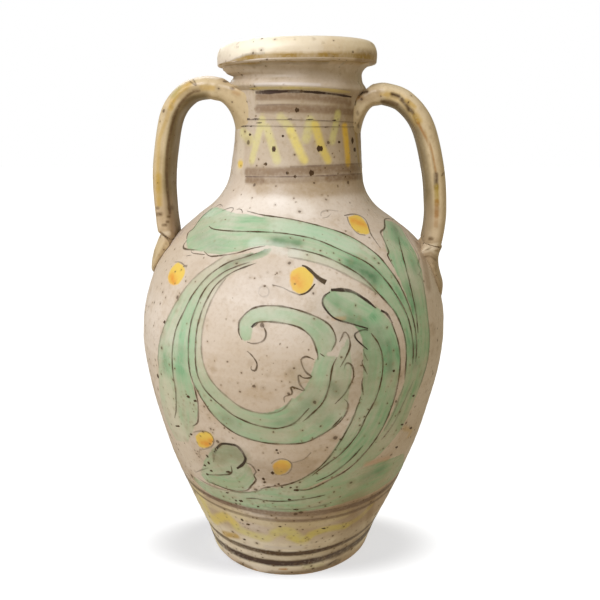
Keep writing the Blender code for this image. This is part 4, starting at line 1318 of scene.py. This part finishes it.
# %% Pits in the glaze
# Each pit: its pixel, its width and its height.
PITS = [
    ((297, 110), 3.5, 3.5), ((274, 149), 3, 5), ((319.5, 148.5), 5, 5), ((352.7, 140.6), 2, 5),
    ((355, 149.7), 2, 3.5), ((311.5, 173), 4, 5), ((287.5, 173), 2.5, 2.5), ((295, 176.5), 2.5, 2.5),
    ((283, 136), 2, 2), ((250, 134.6), 2, 2), ((266, 164), 2.5, 2.5), ((339, 142), 2, 2),
    ((188.6, 396.5), 2.5, 2.5), ((195.5, 400.7), 2.5, 2), ((165, 322), 2, 2.5), ((158, 376), 1.2, 4),
    ((178, 426), 3.5, 1.6), ((191.6, 434), 2, 2), ((207.5, 456), 1.4, 3.4), ((208.6, 463), 1.6, 3),
    ((204.5, 465.5), 2, 2), ((211, 471), 2, 2), ((207, 474.6), 2, 2), ((228.5, 472), 4.4, 2.4),
    ((276.6, 450), 2, 2), ((278, 453), 1.6, 1.6), ((272.6, 472.8), 3, 3.4), ((263.5, 478.8), 2.4, 3),
    ((268.6, 487), 3.4, 2), ((258.6, 470), 1.6, 2), ((265, 482), 2, 1.6), ((275, 485.4), 2, 1.6),
    ((278.6, 484), 2, 2), ((282, 487), 2, 1.6), ((290.6, 487.4), 2, 1.6), ((296.4, 490), 4.6, 2.6),
    ((296, 509.4), 4.4, 2), ((289.4, 499.4), 3, 2), ((341, 439), 3, 1.6), ((335, 449.6), 2, 2),
    ((396, 447), 2, 2), ((394, 371), 2, 2), ((414, 396), 1.8, 2), ((410.6, 428), 2, 2),
    ((402, 424.6), 2, 1.6), ((242, 520), 1.8, 3), ((248, 524.4), 3, 2), ((280, 526.6), 2.4, 1.6),
    ((323.6, 528.4), 3.4, 1.6), ((244.4, 539.4), 2, 2), ((258, 507), 2, 1.8), ((240.6, 501.4), 3, 2.4),
    ((235.6, 501), 1.6, 2), ((227, 493), 2.4, 1.4),
]
PIT_SPREAD = 1.25

pits = Brushwork()
for pixel, wide, tall in PITS:
    pits.dot(pixel, PIT_SPREAD * wide, PIT_SPREAD * tall, PIT)
pits.made("glaze_pits")

# %% Outlines of the berries
BERRY_INK = pigment(80, 64, 44)
# Each line: its pixels, its width, how far that grows towards its end, and its strength.
BERRY_LINES = [
    ([(302, 265.5), (306, 267), (311, 271), (316, 276), (321, 280), (326, 282.5)], 1.6, 3.6, 1.7),
    ([(272, 285), (282, 287.5), (290, 291.5), (300, 295)], 1.2, 1.1, 0.8),
    ([(299, 295), (305, 293.5), (310, 290), (315, 284)], 2.0, 0.8, 1.4),
    ([(344, 215.5), (353, 214), (360.5, 216), (366, 221), (370, 233), (375, 241), (380, 248)],
     1.5, 0.8, 0.95),
    ([(347, 216.5), (349, 223), (354, 230), (359, 234), (365, 235)], 1.3, 0.9, 0.85),
    ([(194, 432), (200, 430.8), (207, 431.5), (211.5, 434.5), (214.3, 440), (212.5, 445.5), (206, 448)],
     1.3, 1.0, 0.75),
    ([(212, 447), (206, 448.8), (200, 449.6), (199.3, 453), (201, 458), (203.5, 461.5)], 1.0, 0.8, 0.5),
    ([(271, 463.5), (276, 459.8), (284, 458.8), (290.4, 462), (291.8, 467), (288, 473), (281, 475.2)],
     1.2, 1.0, 0.7),
    ([(291, 463), (297, 461.5), (304, 459), (311, 452.5)], 1.3, 0.7, 0.6),
    ([(175, 262), (180, 262), (184.5, 265), (187, 267)], 1.4, 1.0, 0.9),
    ([(183.5, 266), (187.5, 266)], 2.6, 1.0, 0.8),
]
berry_lines = Brushwork()
for pixels, width, grow, ink in BERRY_LINES:
    berry_lines.stroke(pixels, width, BERRY_INK, ink, 0.8, brush="flat", loose=0.1, grow=grow)
berry_lines.made("berry_lines")

# %% [markdown]
# ## Handles
# The straps were pulled by hand, bent over in the air and pressed on with wads of clay: flat outside,
# with a sharp ridge along the inner front edge. A lofted skin follows the strap's middle line. The wads
# flare out of the strap's end and run into the wall without a step, so each of their lengthwise lines is
# a curve that leaves along the strap and arrives along the wall.

# %% Sizes of the handles
STRAP_WIDTH = 0.042
ROOT_LENGTH, ROOT_DEPTH = 0.0086, 0.0105
# A tail runs down by drops, each with how proud it stands and its share of the strap's width. A curve bends
# by shares of the way out to the heel and up to the crown.
HANDLES = {
    "left": dict(turn=math.pi, front=1, thickness=(0.0166, 0.0153, 0.0142), root_lift=0.0030,
                 root_drop=0.011, crown_rise=0.0012, heel_drop=0.036, heel_stand=0.0084, bow=0.0021,
                 slant=0.0040, root_skirt=0.0070, crease=0.85, pad_front=0.040, pad_back=0.029,
                 tail_tone=0.2,
                 tail=((0.003, 0.0136, 1.0), (0.009, 0.0098, 1.0), (0.015, 0.0074, 0.96),
                       (0.022, 0.0050, 0.85), (0.028, 0.0030, 0.66), (0.032, -0.0006, 0.42)),
                 curve=((0.228, 1), (0.55, 0.960), (0.818, 0.822), (0.954, 0.564), (1, 0.36),
                        (0.984, 0.148))),
    "right": dict(turn=math.radians(-6.4), front=-1, thickness=(0.0155, 0.0166, 0.0157), root_lift=-0.001,
                  root_drop=0.0085, crown_rise=0.0004, heel_drop=0.041, heel_stand=0.0098, bow=0.0014,
                  slant=-0.0012, root_skirt=0.0055, crease=0.3, pad_front=0.024, pad_back=0.029,
                  tail_tone=0.25,
                  tail=((0.002, 0.0155, 1.0), (0.008, 0.0100, 1.0), (0.016, 0.0055, 0.97),
                        (0.024, 0.0041, 0.9), (0.030, 0.0040, 0.82), (0.036, 0.0026, 0.7),
                        (0.041, 0.0008, 0.52), (0.044, -0.0008, 0.36)),
                  curve=((0.16, 1), (0.447, 0.948), (0.727, 0.791), (0.92, 0.50), (0.995, 0.25),
                         (1, 0.12))),
}
STRAP_SIDES = 160
STRAP_STEPS = 24
RIDGE_SQUARENESS, EDGE_SQUARENESS, INNER_HOLLOW = 4.2, 2.7, 0.04


def strap_line(side):
    """The strap's middle line in its plane: distance from the axis, and height."""
    root_height = MOUTH_SEAM + side["root_lift"]
    crown = root_height + side["crown_rise"]
    heel_height = NECK_ROOT_HEIGHT - side["heel_drop"]
    root = NECK_TOP_RADIUS + ROOT_LENGTH
    heel = radius_at(heel_height) + side["heel_stand"]
    bends = [(root + (heel + side["bow"] - root) * out, heel_height + (crown - heel_height) * up)
             for out, up in side["curve"]]
    return smooth([(root, root_height), *bends, (heel, heel_height)], STRAP_STEPS)


def section(side):
    """Round the strap's edge: places across and through it from -1 to 1. One edge is a sharp ridge."""
    angle = 2 * np.pi * (np.arange(STRAP_SIDES) + 0.5) / STRAP_SIDES
    c, s = np.cos(angle), np.sin(angle)
    ridge = (c * side["front"] > 0) & (s < 0)
    squareness = np.where(ridge, RIDGE_SQUARENESS, EDGE_SQUARENESS)
    across = np.sign(c) * np.abs(c) ** (2 / squareness)
    through = np.sign(s) * np.abs(s) ** (2 / squareness)
    return across, through


def strap_rings(side):
    """Rings of points along the strap, with its heading and the way along it for each."""
    line = strap_line(side)
    heading = np.gradient(line, axis=0)
    heading /= np.linalg.norm(heading, axis=1, keepdims=True)
    t = np.linspace(0, 1, len(line))
    root, grip, heel = side["thickness"]
    thick = np.where(t < 0.5, root + (grip - root) * ease(2 * t), grip + (heel - grip) * ease(2 * t - 1))
    across, through = section(side)
    wave = 1 + 0.018 * np.sin(21 * t) + 0.012 * np.sin(47 * t + 1)
    sideways = np.array((-math.sin(side["turn"]), math.cos(side["turn"]), 0.0))
    out = np.array((math.cos(side["turn"]), math.sin(side["turn"]), 0.0))
    up = np.array((0.0, 0.0, 1.0))
    middle = line[:, :1] * out + line[:, 1:] * (up + np.array((LEAN, 0, 0)))
    square = -heading[:, 1:] * out + heading[:, :1] * up
    along = heading[:, :1] * out + heading[:, 1:] * up
    hollow = INNER_HOLLOW * (1 - across**2) * (through < 0)
    flat = 0.5 * STRAP_WIDTH * wave[:, None] * across
    deep = 0.5 * thick[:, None] * (through + hollow)
    slid = -side["slant"] * ease((t - 0.8) / 0.2)[:, None] * through
    rings = middle[:, None, :] + flat[..., None] * sideways
    rings += deep[..., None] * square[:, None, :] + slid[..., None] * along[:, None, :]
    return rings, along, t


for word, side in HANDLES.items():
    print(word, "strap:", round(1000 * run_along(strap_line(side))[-1]), "mm long")

# %% Paint on the handles
# The second colour on the next line is brown painted shade for the straps' inner faces.
DRAG, INNER_SHADE_BROWN, BROWN = pigment(196, 158, 66), pigment(112, 98, 72), pigment(104, 78, 48)
# The second colour on the next line is a pale painted highlight.
PINK_CLAY, PAINTED_HIGHLIGHT, RUST = pigment(196, 170, 140), pigment(238, 222, 194), pigment(165, 115, 55)
SCORCH, MUD, MOSS = pigment(70, 46, 24), pigment(168, 146, 118), pigment(160, 132, 40)
# Each mark: its line in the picture, its reach in pixels, its colour, and its strength.
HANDLE_MARKS = {
    "left": [
        ([(163, 206), (164, 214), (166, 230)], 20, PINK_CLAY, 0.6),
        ([(190, 84), (184.4, 88.2), (179.3, 91.8), (173.4, 99.8), (170.5, 107.8)], 4.5, DRAG, 0.85),
        ([(170.5, 107.8), (164, 126.7), (160.4, 135.4), (158.9, 142.7), (158.2, 157), (158, 190)],
         3.2, DRAG, 0.5),
        ([(158.2, 176), (158.6, 190), (159, 204)], 5, DRAG, 0.7),
        ([(202, 87.6), (213, 88)], 4.5, DRAG, 0.6),
        # The next mark is painted shade, browned, under the left crown.
        ([(182, 97), (190, 91), (200, 89)], 6, pigment(150, 122, 74), 0.45),
        ([(173, 95), (178, 87)], 6, pigment(150, 150, 92), 0.4),
        ([(199, 90.7), (191.6, 92.5), (183, 100.5), (177, 109.3), (173, 121), (169.8, 135.4),
          (167.3, 150), (166.5, 172), (167.5, 190), (168.7, 202), (170, 213)], 2.4, BROWN, 0.85),
        ([(189.8, 81.3), (196, 85.3), (193.4, 79.5)], 1.4, BROWN, 0.8),
        ([(173.8, 183), (175, 183)], 2.6, BROWN, 0.9),
        ([(170, 207.7), (172, 207.7)], 4, BROWN, 0.9),
        ([(157, 214.3), (161, 214.3)], 3, BROWN, 0.85),
        ([(168, 216.6), (169.4, 216.6)], 2.4, BROWN, 0.8),
        ([(167, 221.8), (168, 221.8)], 2.4, BROWN, 0.8),
        ([(163, 225), (166, 225)], 2.4, BROWN, 0.85),
        ([(157, 208), (158, 208)], 2.4, BROWN, 0.8),
        ([(231.6, 88.3), (233, 88.3)], 3, BROWN, 0.8),
        ([(234, 92), (238, 94)], 4, RUST, 0.45),
        # The next mark is a painted highlight along the strap's fold; the brown line after it lies in the
        # crease, partly painted shade.
        ([(162.5, 234.5), (168.5, 233.5)], 4, PAINTED_HIGHLIGHT, 0.7),
        ([(160.4, 232.4), (165, 236), (169.6, 241.3)], 1.8, BROWN, 0.9),
        # The brown line where the tail meets the wall: glaze gathered in the joint, partly painted shade.
        ([(174, 239.3), (171.8, 244.5), (168.2, 250.7), (165, 254.7), (162.4, 260.5), (160.2, 266.3),
          (156.6, 272), (155, 275.3)], 2.4, BROWN, 0.9),
    ],
    "right": [
        ([(424, 215), (432, 232), (428, 250)], 22, PINK_CLAY, 0.5),
        ([(430, 256), (436, 272), (440, 290)], 26, MUD, 0.6),
        ([(388, 95), (400, 98), (410, 108), (418, 122)], 7, DRAG, 0.5),
        # The next mark is painted shade, browned, in the crease under the right root.
        ([(360, 97), (368, 97), (378, 94)], 9, pigment(158, 128, 92), 0.55),
        ([(391.9, 94.4), (398.6, 96.4)], 3.6, SCORCH, 0.95),
        ([(401.3, 99), (407.3, 106), (409.3, 109.8)], 3.8, SCORCH, 0.9),
        ([(411.3, 109.8), (414.6, 115.2), (418, 122.9)], 3.4, SCORCH, 0.8),
        ([(417, 121), (425.4, 136.6), (430, 146), (433, 158.6), (434.9, 169), (436, 175.8)],
         2.2, RUST, 0.8),
        ([(436, 174), (436.3, 188)], 3.6, SCORCH, 0.9),
        ([(436.4, 186), (436.9, 204)], 3.8, MOSS, 0.85),
        ([(436.9, 201), (436.6, 216)], 3.6, RUST, 0.75),
        ([(436.6, 212), (436, 226)], 3.2, RUST, 0.5),
        ([(381, 94.4), (389, 94.4)], 3, DRAG, 0.6),
        ([(406.6, 99.8), (415.3, 107)], 3, DRAG, 0.6),
        ([(416, 116), (419, 120)], 5, DRAG, 0.6),
        ([(382, 101.5), (390, 102), (397, 104.5)], 3, BROWN, 0.7),
        ([(442, 175.4), (443.6, 173)], 1.6, BROWN, 0.85),
        ([(430, 238.6), (431.6, 238.6)], 3, BROWN, 0.85),
        ([(360, 93.4), (367, 91.6)], 2.8, SCORCH, 0.95),
        ([(353.7, 96.4), (355.4, 100), (354.7, 104.5)], 2, SCORCH, 0.9),
        ([(358, 98.4), (361.5, 98.4)], 4, RUST, 0.5),
        ([(357, 112), (358, 114)], 2, BROWN, 0.7),
        ([(358, 125), (358.6, 127)], 2, BROWN, 0.7),
        # The next two marks are painted highlights on the rough fold of the right heel; then come its brown
        # cracks.
        ([(421, 243), (428, 246), (439, 244)], 3, PAINTED_HIGHLIGHT, 0.7),
        ([(423, 252), (431, 250), (437, 254)], 3, PAINTED_HIGHLIGHT, 0.6),
        ([(420, 247.5), (427, 249), (434, 247), (440, 248.5)], 1.6, BROWN, 0.85),
        ([(422, 258), (429, 256), (436, 260)], 1.4, BROWN, 0.7),
        ([(422, 277), (424, 277)], 3, BROWN, 0.85),
    ],
}
FACING_EDGE, MARK_EDGE, MARK_STEPS = 0.3, 1.2, 24


def in_picture(points):
    """Where the camera sees points of space, in pixels of the photograph."""
    x, y, z = np.moveaxis(points - CAMERA_PLACE, -1, 0)
    deep = y * math.cos(CAMERA_DIP) - z * math.sin(CAMERA_DIP)
    up = y * math.sin(CAMERA_DIP) + z * math.cos(CAMERA_DIP)
    return np.stack((0.5 * PHOTO_SIDE + FOCAL * x / deep, 0.5 * PHOTO_SIDE - FOCAL * up / deep), axis=-1)


def paint(made, marks, ink, colour, tone, crowd):
    """Lays marks over the ink that a piece of a handle has already, wherever the piece faces the front."""
    mesh = made.data
    count = len(mesh.vertices)
    points, normals = np.zeros(3 * count, np.float32), np.zeros(3 * count, np.float32)
    mesh.vertices.foreach_get("co", points)
    mesh.vertex_normals.foreach_get("vector", normals)
    points, normals = points.reshape(-1, 3).astype(float), normals.reshape(-1, 3)
    sight = CAMERA_PLACE - points
    facing = ease((sight * normals).sum(1) / np.linalg.norm(sight, axis=1) / FACING_EDGE)
    spots = in_picture(points)
    colours = np.broadcast_to(np.array(colour), (count, 3)).copy()
    for pixels, width, shade, strength in marks:
        away, _, _ = off_line(spots, even(pixels, MARK_STEPS))
        laid = strength * facing * ease(MARK_EDGE * (1 - away / width))
        ink, colours = lay(ink, colours, laid, shade)
    carry_ink(mesh, ink, colours)
    carry(mesh, "tone", np.broadcast_to(tone, count))
    carry(mesh, "crowd", np.full(count, crowd))
    for name in ("wash", "berry"):
        carry(mesh, name, np.full(count, 1000 * FAR_OUTSIDE))
    print(made.name, len(mesh.polygons), "faces,", int((ink > 0.3).sum()), "points inked")


print("marks on the handles:", {word: len(marks) for word, marks in HANDLE_MARKS.items()})

# %% Straps
# The first value is the strength of the painted shade on the straps' inner faces.
INNER_SHADE_INK, STRAP_TONE, STRAP_CROWD = 0.6, 0.12, 0.5


def lofted(name, rings, material, *stands_for):
    """A closed skin over rings of points, with a fan at each end."""
    rows, columns = rings.shape[:2]
    points = np.vstack((rings.reshape(-1, 3), rings[0].mean(0), rings[-1].mean(0)))
    faces = quads(rows, columns)
    first, last = rows * columns, rows * columns + 1
    faces += [(first, (i + 1) % columns, i) for i in range(columns)]
    top = (rows - 1) * columns
    faces += [(last, top + i, top + (i + 1) % columns) for i in range(columns)]
    made = piece(name, points, faces, material, "handle_glaze", *stands_for)
    closed(made)
    return made


for word, side in HANDLES.items():
    rings_of_strap, _, t = strap_rings(side)
    strap = lofted(word + "_handle", rings_of_strap, handle_glaze, word + "_handle")
    across, through = section(side)
    # Painted shade with a little dirt: brown over the strap's inner face, fading out near the root.
    under = ease((-through - 0.15) / 0.5) * ease((t - 0.03) / 0.15)[:, None]
    back_edge = np.exp(-((through / 0.5) ** 2)) * ease((-across * side["front"] - 0.8) / 0.15)
    dragged = back_edge * np.clip(0.3 + 0.5 * np.sin(13 * t + 0.5) * np.sin(37 * t + 1.7), 0, 1)[:, None]
    inner_shade = INNER_SHADE_INK * under
    ink = np.concatenate((np.maximum(inner_shade, dragged).ravel(), (0.0, 0.0)))
    colour = np.where((inner_shade > dragged)[..., None], np.array(INNER_SHADE_BROWN), np.array(DRAG)).reshape(-1, 3)
    tone = np.concatenate((STRAP_TONE + inner_shade.ravel(), (0.0, 0.0)))
    paint(strap, HANDLE_MARKS[word], ink, np.vstack((colour, np.zeros((2, 3)))), tone, STRAP_CROWD)

# %% Wads
WAD_STEPS = 22
WAD_EDGE, LINING = -0.0001, -0.0025
ROOT_REACH, SNUG, LESS_SNUG = 0.30, 0.45, 0.2
ROOT_TONE, ROOT_CROWD = 0.2, 0.6


def flared(start, leave, end, arrive):
    """Lines that leave the strap one way and arrive at the wall another, as rings from strap to wall."""
    t = np.linspace(0, 1, WAD_STEPS)[:, None, None]
    one, two = start + leave, end - arrive
    u = 1 - t
    return u**3 * start + 3 * u**2 * t * one + 3 * u * t**2 * two + t**3 * end


def wad(name, start, heading, angle, height, reach, snug):
    """A wad from a ring of the strap to places on the wall, with a lining under the wall's skin."""
    end = on_wall(angle, height, WAD_EDGE)
    middle = end.mean(0)
    outward = end - middle
    normal = wall_normal(angle, height)
    outward -= normal * (outward * normal).sum(1, keepdims=True)
    outward /= np.linalg.norm(outward, axis=1, keepdims=True)
    gap = np.linalg.norm(end - start, axis=1, keepdims=True)
    rings_of_wad = flared(start, heading * gap * snug[:, None], end, outward * gap * reach)
    lining = on_wall(angle, height, LINING)
    return lofted(name, np.concatenate((rings_of_wad, lining[None])), handle_glaze, name)


for word, side in HANDLES.items():
    rings_of_strap, along, _ = strap_rings(side)
    across, through = section(side)
    root_height = MOUTH_SEAM + side["root_lift"] - side["root_drop"]
    half_height = 0.5 * (side["thickness"][0] + ROOT_DEPTH)
    half_width = np.where(across * side["front"] > 0, side["pad_front"], side["pad_back"])
    bearing = side["turn"] + across * half_width / NECK_TOP_RADIUS
    level = root_height + (half_height + side["root_skirt"] * (through < 0)) * through
    snug = np.where(through < 0, SNUG - LESS_SNUG * np.abs(through), SNUG)
    root = wad(word + "_root_wad", rings_of_strap[0], -along[0], bearing, level, ROOT_REACH, snug)
    unpainted = np.zeros(len(root.data.vertices))
    paint(root, HANDLE_MARKS[word], unpainted, BROWN, ROOT_TONE, ROOT_CROWD)

# %% [markdown]
# ## Tails
# Below each strap the wad was drawn down the shoulder with a thumb: a rounded tail, thickest under the
# strap's folded end and thinning to its tip. It keeps a crease along the wall, browned where glaze gathered
# there, and partly painted shade.

# %% Tails at the lower ends
LEDGE = 0.93
CREASE = 0.0016
SUNK, SUNK_UNTIL = 0.006, 0.012
TAIL_SPREAD, TAIL_ROOT, TAIL_STEPS, TAIL_CROWD = 1.1, 0.004, 8, 0.9


def tail_rings(side, strap_end):
    """Rings of a tail: the first sits under the strap's fold, the rest run down the wall to the tip."""
    across, through = section(side)
    heel_height = NECK_ROOT_HEIGHT - side["heel_drop"]
    way_down = smooth(side["tail"], TAIL_STEPS)
    rings = [strap_end.mean(0) + LEDGE * (strap_end - strap_end.mean(0))]
    for drop, proud, share in way_down:
        height = heel_height - drop
        half = 0.5 * share * STRAP_WIDTH * TAIL_SPREAD
        bearing = side["turn"] + across * half / radius_at(height)
        lift = 0.5 * (proud + TAIL_ROOT) * (through + 1) - TAIL_ROOT
        sunk = SUNK * np.clip(-through, 0, 1) * ease(1 - drop / SUNK_UNTIL)
        raised = side["slant"] * np.clip(through, -1, 1) * ease(1 - drop / SUNK_UNTIL)
        rings.append(on_wall(bearing, height - sunk + raised, lift))
    return np.array(rings)


for word, side in HANDLES.items():
    rings_of_strap, _, _ = strap_rings(side)
    name = word + "_heel_wad"
    tail = lofted(name, tail_rings(side, rings_of_strap[-1]), handle_glaze, name)
    _, radius, height = places(tail.data)
    lift = radius - radius_at(height)
    # Brown in the crease along the wall: glaze gathered there, and partly painted shade.
    ink = side["crease"] * ease((CREASE - lift) / CREASE)
    paint(tail, HANDLE_MARKS[word], ink, BAND_DARK, side["tail_tone"], TAIL_CROWD)

# %% [markdown]
# ## Floor and studio light
# The jug stands on plain white, lit softly from the upper left, as in a catalogue picture. A large soft
# box gives both the slow fall of light across the belly and the broad veil of gloss on the shoulder. A
# weaker one stands behind the jug, and a faint one low on the left lifts the edge there. A white floor
# would throw too much light back up and flatten the jug, so the paper is white to the camera and grey to
# the light that leaves it; the surroundings are treated the same way. The lamps do not reach the paper,
# and its soft shadow round the foot is mostly painted: the paper glows less there.

# %% Floor
FLOOR_SIDE = 8.0
FLOOR_CELLS = 24
PAPER, PAPER_BOUNCE = (0.46, 0.52, 0.76), (0.43, 0.365, 0.265)
# The paper glows less in an oval round the foot: a painted shadow. These set its glow and the oval's size,
# shape and place.
GLOW_NEAR, GLOW_FAR = 0.58, 1.0
SHADE_FROM, SHADE_TO, SHADE_SHAPE, SHADE_MOVED = 0.088, 0.150, (1.0, 2.6, 1.0), (0.0, 0.066, 0.0)

bm = bmesh.new()
bmesh.ops.create_grid(bm, x_segments=FLOOR_CELLS, y_segments=FLOOR_CELLS, size=0.5 * FLOOR_SIDE)
floor_mesh = bpy.data.meshes.new("studio_floor")
bm.to_mesh(floor_mesh)
bm.free()
studio_floor = bpy.data.objects.new("studio_floor", floor_mesh)
bpy.context.scene.collection.objects.link(studio_floor)


def seen_or_lit(tree, lit, seen):
    """A mix of two shaders: the first for light on its way, the second for the camera's own view."""
    mix = tree.nodes.new("ShaderNodeMixShader")
    feed(tree, mix.inputs[0], tree.nodes.new("ShaderNodeLightPath").outputs["Is Camera Ray"])
    feed(tree, mix.inputs[1], lit)
    feed(tree, mix.inputs[2], seen)
    return mix.outputs[0]


paper = bpy.data.materials.new("studio_paper")
paper.use_nodes = True
paper_tree = paper.node_tree
paper_seen = paper_tree.nodes["Principled BSDF"]
paper_place = paper_tree.nodes.new("ShaderNodeTexCoord").outputs["Object"]
grain = cloud(paper_tree, paper_place, 40)
paper_shade = tuple(0.985 * part for part in PAPER)
feed(paper_tree, paper_seen.inputs["Base Color"], tint(paper_tree, grain, PAPER, paper_shade))
feed(paper_tree, paper_seen.inputs["Roughness"], ramp(paper_tree, grain, 0.3, 0.7, 0.85, 0.95))
paper_seen.inputs["Emission Color"].default_value = (1.0, 1.0, 1.0, 1.0)
shadow_oval = paper_tree.nodes.new("ShaderNodeVectorMath")
shadow_oval.operation = "MULTIPLY_ADD"
feed(paper_tree, shadow_oval.inputs[0], paper_place)
shadow_oval.inputs[1].default_value = SHADE_SHAPE
shadow_oval.inputs[2].default_value = SHADE_MOVED
distance = paper_tree.nodes.new("ShaderNodeVectorMath")
distance.operation = "LENGTH"
feed(paper_tree, distance.inputs[0], shadow_oval.outputs[0])
feed(paper_tree, paper_seen.inputs["Emission Strength"],
     ramp(paper_tree, distance.outputs["Value"], SHADE_FROM, SHADE_TO, GLOW_NEAR, GLOW_FAR))
paper_lit = paper_tree.nodes.new("ShaderNodeEmission")
paper_lit.inputs["Color"].default_value = (*PAPER_BOUNCE, 1.0)
paper_out = paper_tree.nodes["Material Output"].inputs["Surface"]
feed(paper_tree, paper_out, seen_or_lit(paper_tree, paper_lit.outputs[0], paper_seen.outputs[0]))
floor_mesh.materials.append(paper)
print("floor:", FLOOR_SIDE, "m square")

# %% Lamps and surroundings
# Each lamp: where it stands, how wide it is, and its power.
LAMPS = {
    "key": ((-0.66, -1.04, 1.36), 1.1, 22.6),
    "back": ((-0.5, 1.5, 1.3), 1.2, 7.0),
    "low_left": ((-1.2, -0.35, 0.08), 1.0, 2.8),
}
AIM = np.array((0.0, 0.0, 0.18))
LAMP_COLOUR = (0.96, 1.01, 1.13)
SURROUND, SURROUND_COLOUR = 0.36, (1.0, 0.89, 0.61, 1.0)

unlit = bpy.data.collections.new("not_lit_by_lamps")
for name, (place, size, power) in LAMPS.items():
    light = bpy.data.lights.new(name + "_lamp", "AREA")
    light.shape = "DISK"
    light.size = size
    light.energy = power
    light.color = LAMP_COLOUR
    lamp = bpy.data.objects.new(name + "_lamp", light)
    lamp.location = place
    aim = AIM - np.array(place)
    tip_over, swing = math.atan2(math.hypot(aim[0], aim[1]), -aim[2]), math.atan2(-aim[0], aim[1])
    lamp.rotation_euler = (tip_over, 0.0, swing)
    bpy.context.scene.collection.objects.link(lamp)
    lamp.light_linking.receiver_collection = unlit
unlit.objects.link(studio_floor)
unlit.collection_objects[0].light_linking.link_state = "EXCLUDE"
world = bpy.data.worlds.new("studio")
world.use_nodes = True
world_tree = world.node_tree
around = world_tree.nodes["Background"]
around.inputs["Color"].default_value = SURROUND_COLOUR
around.inputs["Strength"].default_value = SURROUND
backdrop = world_tree.nodes.new("ShaderNodeBackground")
backdrop.inputs["Color"].default_value = (1.0, 1.0, 1.0, 1.0)
backdrop.inputs["Strength"].default_value = 1.0
feed(world_tree, world_tree.nodes["World Output"].inputs["Surface"],
     seen_or_lit(world_tree, around.outputs[0], backdrop.outputs[0]))
bpy.context.scene.world = world
bpy.context.scene.view_settings.view_transform = "Standard"
print("lamps:", list(LAMPS))
